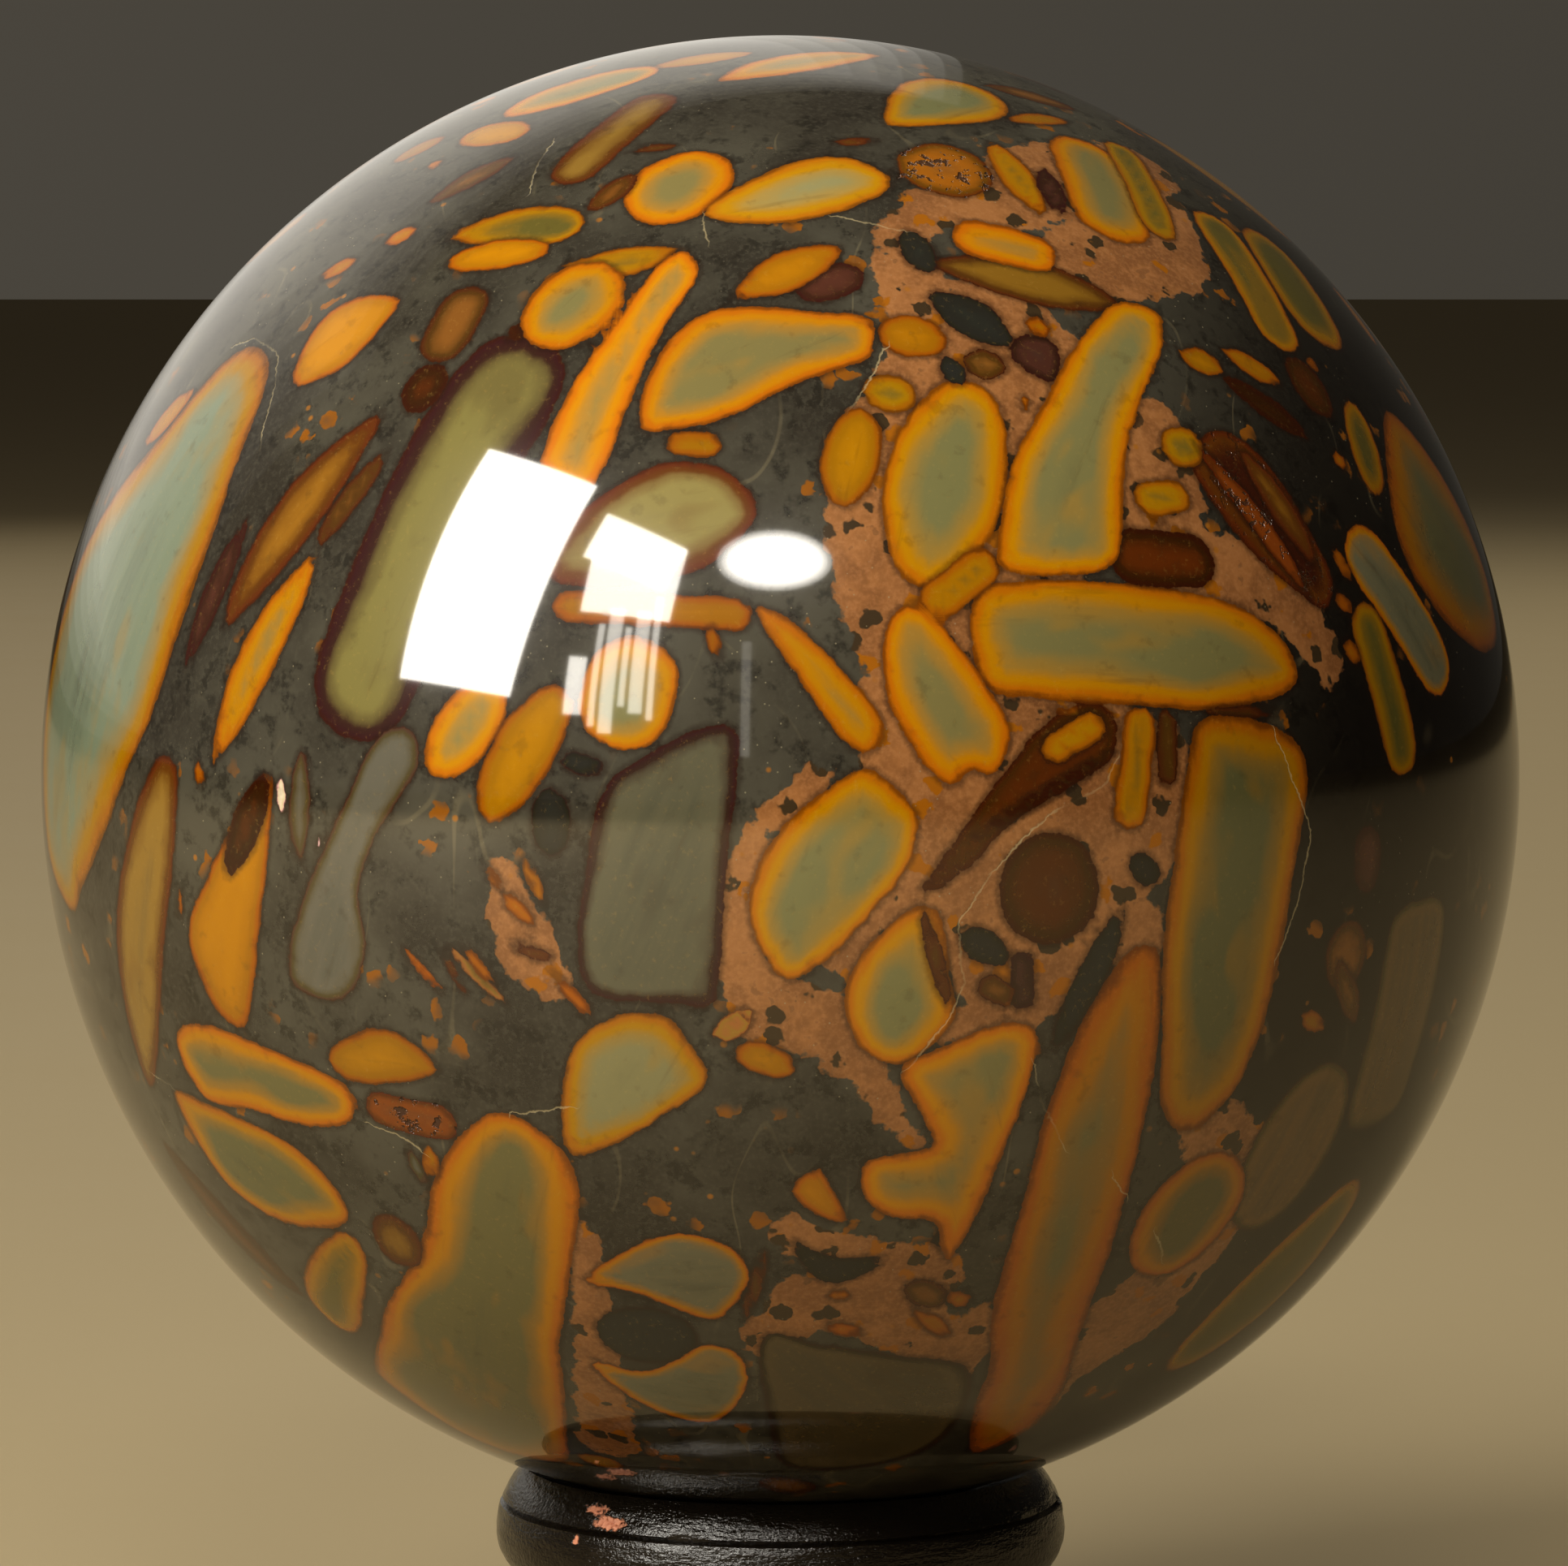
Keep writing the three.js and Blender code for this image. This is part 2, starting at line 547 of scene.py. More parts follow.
# What lies on the side that faces the front. The first few lie inside or over others.
FRONT_PEBBLES: list[Inclusion] = [
    Pebble(BROWN, (10.0, -5.4), (12.4, -13.0), 1.8, LEAF),
    Pebble(OLIVE, (19.0, 5.1), (23.7, 7.6), 3.0, BAR),
    Pebble(RUST, (13.5, -0.6), (24.6, 5.4), 1.5, LEAF),
    Pebble(FLAME, (36.0, 28.0), (44.2, 15.6), 2.6, LEAF),
    Pebble(TIGER, (40.8, 27.4), (45.7, 18.0), 3.6, LEAF),
    Pebble(RUST, (-40.0, 3.2), (-44.6, -4.6), 4.2, LEAF),
    Pebble(AMBER, (-23.5, -8.2), (-21.0, -11.8), 1.3, LEAF),
    Pebble(BROWN, (-25.2, -8.8), (-23.4, -12.4), 0.9, LEAF),
    Pebble(AMBER, (-20.2, -4.6), (-17.8, -6.9), 1.7, LEAF),
    Pebble(OLIVE, (-18.6, -1.8), (-17.0, -5.4), 1.4, LEAF),
    Pebble(AMBER, (-21.6, -2.6), (-19.8, -4.6), 1.3, LEAF),
    Pebble(BROWN, (-19.8, -8.2), (-16.2, -9.4), 1.5, LEAF),
    Pebble(AMBER, (-16.4, -10.4), (-13.9, -13.4), 1.6, DROP),
    # the broad ones
    Shard(MIST, (
        (-71, -9), (-67, -7), (-61.5, -2.8), (-57.6, 2), (-54, 7), (-52, 12.8), (-50.6, 19.6),
        (-50.6, 25), (-51.3, 32), (-54.6, 35.4), (-60.5, 35), (-66, 28), (-73, 22), (-78, 15.5), (-80, 5),
        (-78, -5)
    )),
    Shard(FROST, (
        (-7.6, 50.5), (-8.4, 49), (-4.5, 48.1), (0.8, 48.2), (5.3, 49), (9.2, 50.2), (12.6, 51.8),
        (13.3, 53.6), (9.8, 55.6), (5.6, 56), (1.4, 55.2), (-2.2, 53.8), (-5.6, 51.9)
    )),
    Shard(AMBER, (
        (-39.2, 39.7), (-41, 40.7), (-45.5, 40.5), (-48.7, 38.5), (-48.8, 34.6), (-47.6, 32.7),
        (-45, 32.9), (-41.4, 35)
    )),
    Pebble(BROWN, (-31.2, 41.6), (-32, 34.7), 6, BAR),
    Pebble(RUST, (-31.5, 34.6), (-32.6, 30.4), 5),
    Shard(OCHRE, (
        (-18.9, 25.6), (-19.4, 27.4), (-17.9, 33), (-15, 38.7), (-12.4, 43.6), (-10.3, 45.2),
        (-8.6, 44.2), (-8.1, 42.6), (-10, 39), (-11.5, 35.5), (-12.6, 31.5), (-13.9, 26.7), (-15.3, 24.4)
    )),
    Shard(OCHRE, (
        (-11.4, 29.4), (-11.7, 32), (-11, 34.6), (-9.4, 37.4), (-6.6, 39.3), (-2, 39.8), (3, 39.3),
        (8.2, 38.8), (8.4, 36.6), (7.2, 35), (1.2, 33), (-4.4, 30.2), (-9.5, 29.1)
    )),
    Shard(DUSK, (
        (-17.9, 19.6), (-15.6, 22.7), (-11.5, 25.7), (-7.8, 26.8), (-3.9, 25.8), (-1.7, 23), (-3.5, 20.4),
        (-6.4, 18.4), (-11, 17.4), (-16.5, 17.4)
    )),
    Shard(OCHRE, (
        (33.5, 40), (37, 39.8), (38.3, 38.3), (36.2, 35.5), (32.4, 31.8), (29.5, 28), (28, 24.4),
        (26.2, 19), (22, 18), (17, 18.4), (16.7, 20.6), (18.8, 26.5), (22.6, 31.3), (27.6, 36.4)
    )),
    Shard(BANDED, (
        (39.5, 29), (43.5, 26), (45.8, 21), (47.1, 17), (45.4, 15), (42, 16.8), (38.4, 20), (35.8, 24),
        (35.3, 27)
    )),
    Shard(BROAD, (
        (64.5, 29.4), (68.5, 29.4), (74, 24), (77.5, 17), (76, 12), (71, 10.6), (66, 11.6), (60.8, 14.5),
        (58, 18.5), (59, 23.5)
    )),
    Shard(OCHRE, (
        (-1.9, 15.7), (0.3, 15.2), (3.3, 12.6), (6.9, 8.4), (7.3, 6.6), (6, 5.5), (4.2, 6.7), (0.8, 11.5)
    )),
    Shard(OCHRE, (
        (8.5, 15.6), (10.3, 15.7), (12.4, 13.8), (14.9, 10.2), (16.5, 7), (15.4, 4), (13.6, 4.2),
        (12.2, 3.2), (10, 4.9), (7.8, 9), (7.4, 13)
    )),
    Shard(OCHRE, (
        (14, 13), (14.5, 16.6), (17.5, 17.6), (25.5, 17.4), (33.8, 16.2), (39, 14), (41.4, 11),
        (39.8, 8.9), (33.3, 8), (28.7, 8.3), (18.5, 9.2), (15, 9.9)
    )),
    Shard(MOSS, (
        (31.6, 7.2), (35.5, 7.4), (40.2, 5.8), (41.6, 2.8), (40.4, -3.4), (39.7, -9.8), (39, -16),
        (37.6, -20.4), (34.2, -23.4), (31, -21.4), (29.7, -16), (28.8, -8.8), (29.5, -1), (30.6, 4.6)
    )),
    Shard(CHESTNUT, (
        (24.2, 8.3), (22.2, 8.8), (18.6, 6.9), (14.6, 2.3), (12, -1.3), (9.8, -4.6), (13.2, -2.8),
        (16.4, 0.3), (20.8, 2.8), (24, 4.6), (24.8, 6.6)
    )),
    Pebble(CHESTNUT, (19.4, -0.3), (19.6, -8.3), 10.8),
    Shard(OCHRE, (
        (5.8, 4.4), (8.2, 2.9), (9.7, 0.6), (8.9, -2.6), (6.3, -5.9), (3, -9.4), (0.4, -10.5),
        (-1.5, -8.2), (-2.2, -4.9), (-0.8, -1), (2, 2)
    )),
    Shard(TWILIGHT, (
        (-5.3, 7.4), (-3.1, 7.1), (-3, 4.2), (-3.7, -2.1), (-4.3, -9.7), (-5, -12.4), (-8.4, -12.3),
        (-13.6, -11.8), (-14.6, -8.5), (-13.7, -2.1), (-12.4, 3.1), (-8.6, 5.8)
    )),
    Shard(GREY, (
        (-29, 6.9), (-27, 6.4), (-27, 3.7), (-29.9, -0.5), (-31.8, -4.6), (-31.6, -9.3), (-34, -12.9),
        (-38, -12.7), (-39, -10.5), (-36.7, -5.2), (-33.3, 0.6), (-30.9, 5.1)
    )),
    Shard(AMBER, (
        (-40, 3.4), (-39.8, -1), (-41, -6.3), (-43.2, -13), (-45.2, -15.9), (-48.2, -14.5), (-49.8, -9.2),
        (-46.8, -4.7), (-43.6, -0.8)
    )),
    Shard(HONEY, (
        (-52.4, 3.8), (-50.2, 2.8), (-50.6, -2.8), (-52.8, -9), (-57, -17), (-62.6, -22.4), (-62.4, -16),
        (-60.5, -9), (-57.4, -3), (-54.6, 1.6)
    )),
    Shard(AMBER, (
        (-26.6, -18), (-29.3, -15.6), (-31.8, -15.1), (-35, -16.2), (-36.8, -17.8), (-35, -19.4),
        (-30.6, -19.3)
    )),
    Shard(MOSS, (
        (-54.9, -18.2), (-52.4, -16.2), (-47, -16.4), (-38, -18.7), (-35.1, -20.4), (-36.6, -23),
        (-41.5, -23.4), (-47, -22.6), (-53, -22.2)
    )),
    Shard(MOSS, (
        (-58, -22.2), (-54, -22.5), (-48, -23.8), (-43, -25.6), (-40.2, -28.6), (-40.4, -31.6),
        (-45, -32.8), (-50.5, -32.5), (-55.6, -30.2), (-57.8, -26)
    )),
    Shard(OLIVE, (
        (-41.2, -32.8), (-40.4, -35), (-43.5, -39), (-49.5, -43.8), (-53.4, -44), (-54.4, -41),
        (-51, -37.5), (-45.5, -34.2)
    )),
    Pebble(TIGER, (-35, -30.7), (-36.3, -35.6), 6.2),
    Shard(MOSS, (
        (-23.6, -21.6), (-20.3, -21.6), (-17, -24.5), (-16.5, -28), (-18.2, -33.3), (-20.4, -38.6),
        (-22.8, -43.4), (-25, -49), (-29, -55), (-37, -61.5), (-52, -60), (-55.5, -51), (-52, -47.6),
        (-45.5, -43.4), (-41.4, -40), (-36, -36), (-31.7, -31.4), (-28.6, -26)
    )),
    Shard(FROST, (
        (-16.6, -24.4), (-17, -21.6), (-15.6, -16), (-12, -13.4), (-8.2, -13.4), (-6.3, -16),
        (-5.5, -18.4), (-9, -21), (-13, -23.4)
    )),
    Shard(OCHRE, (
        (9.6, -5.4), (11.3, -6), (12.4, -11), (12.7, -13.6), (10.4, -16.2), (8.4, -17), (5.9, -15.6),
        (4.6, -12.2), (5.8, -8.8), (7.8, -6.7)
    )),
    Shard(OCHRE, (
        (8.9, -17.4), (11.4, -16), (16.6, -14), (19.2, -15), (18.9, -19), (17.8, -24), (16.4, -29.4),
        (14.8, -33.6), (13.8, -32.4), (12.8, -30.1), (9, -29.4), (6.8, -27.8), (6.6, -25), (9.4, -24),
        (12, -23.4), (10.4, -20.4)
    )),
    Shard(AMBER, ((2.9, -25.3), (4.2, -27), (5.6, -29.8), (3.4, -29.5), (0.9, -27.2))),
    Shard(SLATE, ((0.9, -31.4), (4.2, -33), (9.3, -33.3), (5.4, -35.6), (2.6, -34.6))),
    Shard(SLATE, ((12.8, -7.2), (15.2, -7.1), (16.7, -9.6), (13.8, -9.2))),
    Pebble(OLIVE, (26.9, 8.4), (25.4, -0.3), 3.8, BAR),
    Shard(ASH, (
        (-17.6, -35.6), (-12, -32), (-8, -31), (-4.2, -32.3), (-2.7, -35), (-4.6, -38.2), (-6.8, -39.4),
        (-12.9, -36.9)
    )),
    Pebble(BROWN, (-1.2, -32.2), (-3.4, -39.6), 1.6, LEAF),
    Pebble(SLATE, (-18, -41), (-8, -41.6), 8.5),
    Shard(ASH, (
        (-19.9, -44.4), (-15, -45.7), (-10.8, -44.2), (-7.4, -42.2), (-4, -43.4), (-3.8, -47.5),
        (-7.4, -52), (-12.4, -51.8), (-17.6, -48.6)
    )),
    Shard(LOAM, (
        (-1.7, -41.4), (4.2, -42.2), (12, -43.6), (19.5, -45.2), (22, -50.6), (21, -57), (13, -60.4),
        (1, -59.8), (-1.2, -52)
    )),
    Shard(BROAD, (
        (26.2, -8.9), (28.6, -9.6), (29.4, -16), (29.6, -24), (30, -32), (31, -41.5), (33.8, -49),
        (34.6, -55), (30, -59), (25.4, -55), (23, -49.6), (22.4, -45.4), (20, -38), (20.3, -28),
        (20.8, -21), (23, -13.4)
    )),
    Pebble(MOSS, (38.4, -25.4), (36, -36.6), 13),
    # crown
    Pebble(OCHRE, (-52, 62.5), (-30, 71.5), 9),
    Pebble(AMBER, (-33, 71.5), (-8, 76), 4.5, LEAF),
    Pebble(OCHRE, (-13, 68.3), (32, 75.5), 6.5, LEAF),
    Pebble(OCHRE, (16, 60.5), (43.5, 66.8), 11, DROP),
    Pebble(BROWN, (46, 68), (62, 63.5), 4, LEAF),
    Pebble(AMBER, (38, 61.6), (53, 61.6), 2.6, LEAF),
    Pebble(AMBER, (-66, 56), (-59, 59), 4),
    Pebble(AMBER, (-54.5, 59.3), (-40.5, 59.5), 5.5),
    Pebble(AMBER, (-53.5, 55), (-51, 55.5), 2),
    Pebble(BROWN, (-45.5, 50.3), (-37.9, 56.3), 3.6, LEAF),
    Pebble(HONEY, (-21.5, 66), (-27.3, 52.6), 6, BAR),
    Pebble(BROWN, (-22, 49.2), (-18, 54), 3.2, LEAF),
    Pebble(BROWN, (-21, 57), (-14, 57.5), 1.6, LEAF),
    Pebble(OCHRE, (-15, 48.2), (-8.8, 56.5), 10.5),
    Pebble(BROWN, (7, 57.8), (14, 58.3), 1.6, LEAF),
    Pebble(PITTED, (15, 54.8), (27.5, 53.8), 9.5),
    Pebble(OLIVE, (31, 58.5), (30.5, 48.7), 4.4, LEAF),
    Pebble(WINE, (36, 55), (33, 49), 3, LEAF),
    Pebble(OCHRE, (49, 58.8), (38.5, 46.2), 9.5, BAR),
    Pebble(OLIVE, (57, 58.3), (45.7, 46.5), 4.8, BAR),
    # left shoulder
    Pebble(AMBER, (-64, 32), (-70, 27), 4, LEAF),
    Pebble(AMBER, (-54, 42.5), (-49.5, 44.3), 2.6, LEAF),
    Pebble(AMBER, (-47.5, 46), (-43.5, 47.5), 2.6, LEAF),
    Pebble(OLIVE, (-38.5, 46.7), (-21.8, 48), 6.4, DROP),
    Pebble(AMBER, (-36.2, 44), (-24.5, 45.3), 4.3),
    Pebble(TIGER, (-35.4, 30.5), (-46.6, 13.3), 6.6, LEAF),
    Pebble(BROWN, (-33.6, 27.5), (-38.5, 19.5), 3, LEAF),
    Pebble(WINE, (-46.5, 22), (-50.3, 10.3), 3.4, LEAF),
    Pebble(OCHRE, (-38, 19.5), (-46, 3.6), 5.6, LEAF),
    Pebble(MAROON, (-22.3, 37), (-33, 6), 13.2, BAR),
    Pebble(AMBER, (-47.7, 3.6), (-47.3, 1.9), 1.6),
    # upper middle
    Pebble(OLIVE, (-22.5, 43.5), (-10, 45.3), 4, LEAF, 0.0, -0.8),
    Pebble(OCHRE, (-22.5, 36.2), (-17, 43.7), 10),
    Pebble(RUST, (-25.3, 38), (-24, 36.8), 2.4),
    Pebble(AMBER, (-4.5, 40.6), (6.4, 45.6), 5, LEAF),
    Pebble(WINE, (1.5, 40.8), (8.2, 43.2), 4.6),
    Pebble(AMBER, (-9.3, 28.2), (-4.7, 28), 2.7, BAR),
    Pebble(AMBER, (-17, 15.9), (-2, 15.2), 3.4, BAR),
    Pebble(AMBER, (-5.2, 14.6), (-4.4, 12), 1.6, LEAF),
    Pebble(OCHRE, (-9.8, 13.6), (-12, 5.8), 9.5, BAR),
    # upper right
    Pebble(OCHRE, (18.5, 46.9), (29.3, 44.4), 5.8, BAR),
    Pebble(TIGER, (15.2, 44), (34.5, 39.6), 6.2, LEAF),
    Pebble(SLATE, (13.5, 47.3), (14.8, 43), 3.4),
    Pebble(SLATE, (14.3, 41), (21.3, 36.2), 5, LEAF),
    Pebble(AMBER, (8.7, 37.5), (15, 36.6), 5.2),
    Pebble(BROWN, (16, 34.8), (20, 34.4), 3.6),
    Pebble(SLATE, (14.2, 35.5), (15.8, 33), 2.6, DROP),
    Pebble(WINE, (24, 33), (22.5, 37.2), 5.5, DROP),
    Pebble(AMBER, (23, 38.2), (25.3, 37.5), 2.8),
    Pebble(OLIVE, (6.9, 32.6), (11.5, 31.8), 4.5),
    Pebble(AMBER, (6.8, 31), (4.6, 23.3), 5.8),
    Pebble(OCHRE, (16.5, 33.2), (10.3, 17.3), 12),
    Pebble(AMBER, (20.3, 31.4), (21.3, 31.2), 1.8),
    Pebble(AMBER, (38.3, 35.4), (43, 34), 3.4, LEAF),
    Pebble(AMBER, (43.8, 35.8), (49.8, 32.5), 3, LEAF),
    Pebble(RUST, (42, 33.5), (50, 28), 3.2, LEAF),
    Pebble(OLIVE, (58.5, 49.5), (53.2, 35.5), 7, BAR),
    Pebble(OLIVE, (67.5, 47.5), (61.5, 35.8), 10, BAR),
    Pebble(CHESTNUT, (53, 35), (54.5, 29.8), 5.8),
    Pebble(AMBER, (56, 35), (56.6, 33.6), 2),
    Pebble(OLIVE, (59.5, 31), (56.5, 23.3), 5.6),
    Pebble(AMBER, (52.3, 26.6), (53.8, 25.8), 2),
    Pebble(OLIVE, (32.6, 27.3), (37, 27.9), 4.6),
    Pebble(OLIVE, (28.8, 23.5), (34, 23.8), 3.8, BAR),
    Pebble(RUST, (25.5, 19.5), (35, 18.6), 5.8, BAR),
    # middle
    Pebble(OLIVE, (10.5, 15.4), (16.3, 19.6), 4, BAR),
    Pebble(AMBER, (48, 19.5), (49.5, 17), 1.8),
    Pebble(AMBER, (46.8, 15.8), (49, 14.8), 1.8),
    Pebble(AMBER, (47, 12.6), (48.4, 10.8), 2),
    Pebble(ASH, (50.5, 20.5), (60.5, 8.5), 8, BAR),
    Pebble(OLIVE, (49.8, 15.2), (53.2, 2.4), 6, BAR),
    Pebble(BROWN, (32, 7.9), (39.5, 7.6), 1.4, LEAF),
    Pebble(BROWN, (28.9, 8.2), (28.7, 2.8), 2.4, BAR),
    Pebble(SLATE, (-16.5, 3), (-16.3, -2), 4),
    Pebble(SLATE, (-15.8, 5), (-12.3, 4.2), 2.2),
    Pebble(OCHRE, (-20.5, 10.5), (-25.6, 3.6), 6.6),
    Pebble(AMBER, (-15.8, 10), (-21.4, 0.5), 6.6),
    Pebble(PALE, (-38.9, 3), (-38.6, 0.4), 1.3),
    Pebble(PALE, (-34.6, -1), (-35.6, -2), 0.9),
    Pebble(GREY, (-36.8, 5), (-37.2, -3), 2.6),
    Pebble(AMBER, (-50.4, -5.8), (-50.8, -8.4), 1),
    Pebble(AMBER, (-28.6, -8.7), (-25.2, -12.2), 1.1, LEAF),
    Pebble(CLAY, (-24.8, -8.5), (-20.2, -12.8), 1.3, LEAF),
    Pebble(WINE, (48.2, -1), (48.5, -6), 4.5),
    # lower left
    Pebble(FLAME, (-34, -21.3), (-25.9, -22.4), 4.2, BAR),
    Pebble(AMBER, (-28.7, -24), (-29.6, -27.4), 2.2, LEAF),
    Pebble(GREY, (-31, -24.6), (-30.2, -28), 1.8, LEAF),
    Pebble(RUST, (-66, -27), (-55, -41), 6, LEAF),
    Pebble(AMBER, (-31.5, -59.5), (-25.5, -61.5), 4),
    # lower middle
    Pebble(CLAY, (-5, -15.2), (-2, -12.8), 2.6, LEAF),
    Pebble(AMBER, (-3.3, -15.7), (1.1, -17.4), 3.4),
    Pebble(WINE, (17.5, -8.8), (17.9, -13), 2.5, SLAB),
    Pebble(BROWN, (14.6, -10.8), (17, -12.4), 2.6, SLAB),
    Pebble(SLATE, (25.7, -2.3), (28, -4), 3),
    Pebble(SLATE, (25.5, -5.5), (20.3, -16.5), 3.2, LEAF),
    Pebble(AMBER, (4.3, -36.7), (6.2, -36.9), 1.8),
    Pebble(AMBER, (4, -40), (8.2, -41), 1.8, LEAF),
    Pebble(AMBER, (15.4, -37), (17.6, -38.2), 2.3),
    Pebble(AMBER, (12.4, -38.4), (16.8, -41.6), 2, LEAF),
    Pebble(SLATE, (12.9, -31.3), (14.6, -31.8), 2.4),
    Pebble(BROWN, (11.3, -35.8), (15.2, -38), 3.6),
    Pebble(BROWN, (-3, -63), (6, -66), 5),
    # lower right
    Pebble(DUN, (48.5, -19), (45.3, -33), 14),
    Pebble(OLIVE, (61, -30), (50, -48.7), 13.5),
    Pebble(DUN, (56, -7), (57.5, -25), 12, SLAB),
    Pebble(AMBER, (43, -14.8), (46, -16), 2.2),
    Pebble(BROWN, (46, -10.8), (50, -16), 3, LEAF),
    Pebble(BROWN, (46.5, -8), (47.6, -13.2), 6.5),
]

# Where tan clay, not dark mud, holds the pebbles: strokes of places, each with its reach in mm.
CLAY_STROKES: list[list[tuple[float, float, float]]] = [
    [(12.5, 46.5, 2.5), (17, 49.5, 3), (27, 50.5, 5), (33, 53, 6), (42, 54, 6), (54, 55, 5)],
    [(34, 44, 6), (43, 45.5, 6.5), (49, 50, 5)],
    [(12, 43, 3.5), (14, 38, 5), (13.5, 33, 6), (8, 27, 5), (5.5, 22, 3), (7.5, 17, 4.5), (9.5, 12, 4.5)],
    [(20, 38, 6), (25, 34, 5), (20, 31, 4), (18.5, 25, 3), (16, 19, 3.5), (13, 17.5, 3)],
    [(32, 29, 4), (30.5, 24, 6), (31, 18.8, 4.5), (41, 16.5, 4), (44.5, 11, 2.5)],
    [(14, 1, 7), (18, 4, 6), (23, -1, 8), (20, -5, 8), (15, -6, 6)],
    [(12, 14, 6), (15, 8, 4), (20, 22, 6), (24, 27, 5), (28, 33, 5)],
    [(8, 9, 4), (8.5, 5.5, 4.5), (12, 1.5, 5), (11, -2.5, 4), (5, -8, 3.5), (12.5, -6, 4)],
    [(14, 9, 3), (22, 7, 4), (27, 4.5, 5), (27, -1, 4.5), (23.5, -4, 4), (26.5, -8, 3.5)],
    [(2.5, 3.5, 1.6), (-1.5, 0, 1.6), (-3.2, -4, 2.4), (-3, -9, 3), (-1, -13, 3.4), (3, -13.6, 3.4)],
    [(3, -13.6, 3.4), (6, -17, 2), (9, -21.5, 1.3), (10.5, -23.5, 1)],
    [(12.5, -6, 4), (15.5, -9, 5), (17, -12, 4.5), (22, -9, 3), (12.5, -14.5, 1.4)],
    [(-17, -31.5, 1.6), (-17.6, -38, 2), (-18.7, -43, 2.4), (-21, -50, 3), (-24, -57, 3)],
    [(1, -31, 2.5), (8, -33.5, 2.5), (13, -35, 4), (10, -38, 5.5), (2, -37.5, 3.5), (-1, -41.5, 3)],
    [(10, -38, 5.5), (15, -42, 3.5), (18, -45, 3), (19.5, -40, 2.4)],
    [(-20, -3, 1.5), (-19.5, -6, 2.5), (-18, -9, 3), (-16.5, -11, 2)],
    [(36, -23.5, 4), (42, -26, 3), (41, -33, 4), (36, -41, 6), (31, -47, 4), (31, -55, 3)],
    [(110, 35, 8), (125, 20, 11), (138, 2, 10), (128, -16, 12), (140, -36, 9)],
    [(-150, 62, 6), (-128, 48, 9), (-112, 30, 7), (-104, 14, 5)],
    [(180, -8, 5), (-164, -22, 9), (-146, -30, 7), (-128, -50, 10)],
]

# Healed cracks, each a line of places.
VEINS: list[list[Place]] = [
    [(-31.5, 52), (-33, 55), (-34, 58)],
    [(24.5, 4.5), (23.5, 2.8), (20, 1.3), (17.5, -0.5), (14.8, -3.4), (12.8, -6.5), (12.9, -9),
     (13.4, -11), (12.3, -13.5), (9.5, -17.3)],
    [(19.3, -17.5), (20, -19.8), (21.6, -22.3), (22.8, -24)],
    [(28, -27), (29.5, -28.5)],
    [(34.5, -32.5), (36.5, -34.8)],
    [(-33.8, -22.8), (-31.5, -23.5), (-29.8, -24.7)],
    [(-20.5, -21.2), (-16.3, -20.5)],
    [(-8.6, 48.8), (-7.8, 46.3)],
    [(6.5, 48.8), (10, 48), (13, 47.3)],
    [(9.2, 36), (7.8, 33.5), (6, 31)],
    [(38.5, 6), (41.9, -1), (41, -6), (39.5, -10)],
    [(-61, 36), (-58, 36.6), (-55, 36), (-52.3, 35.4), (-49.8, 32), (-49, 29), (-48, 26.5), (-48.6, 23.5)],
    [(-61, -21), (-58.5, -21.6)],
    [(120, 50), (128, 38), (132, 22)],
    [(-140, 10), (-128, 2), (-122, -12)],
    [(170, 40), (160, 30), (158, 18)],
]


class Layer:
    """One layer of the figure, in which pebbles stand well apart."""

    def __init__(self, count: int, far: float) -> None:
        """Start with no pebble at any of the places.

        Args:
            count: how many places there are.
            far: the distance that stands for none near, in millimetres.
        """
        self.edge = np.full(count, far)  # mm outside the nearest outline, negative inside
        self.rim = np.zeros((count, 4))  # skin's colour, and its width in cm
        self.core = np.zeros((count, 4))  # heart's colour, and how pitted it is
        self.grain = np.zeros((count, 3))  # mm along and across the pebble, and a number of its own

    def room(self, held: np.ndarray) -> float:
        """Measure how far the nearest pebble lies from some places."""
        return float(self.edge[held].min()) if len(held) else math.inf


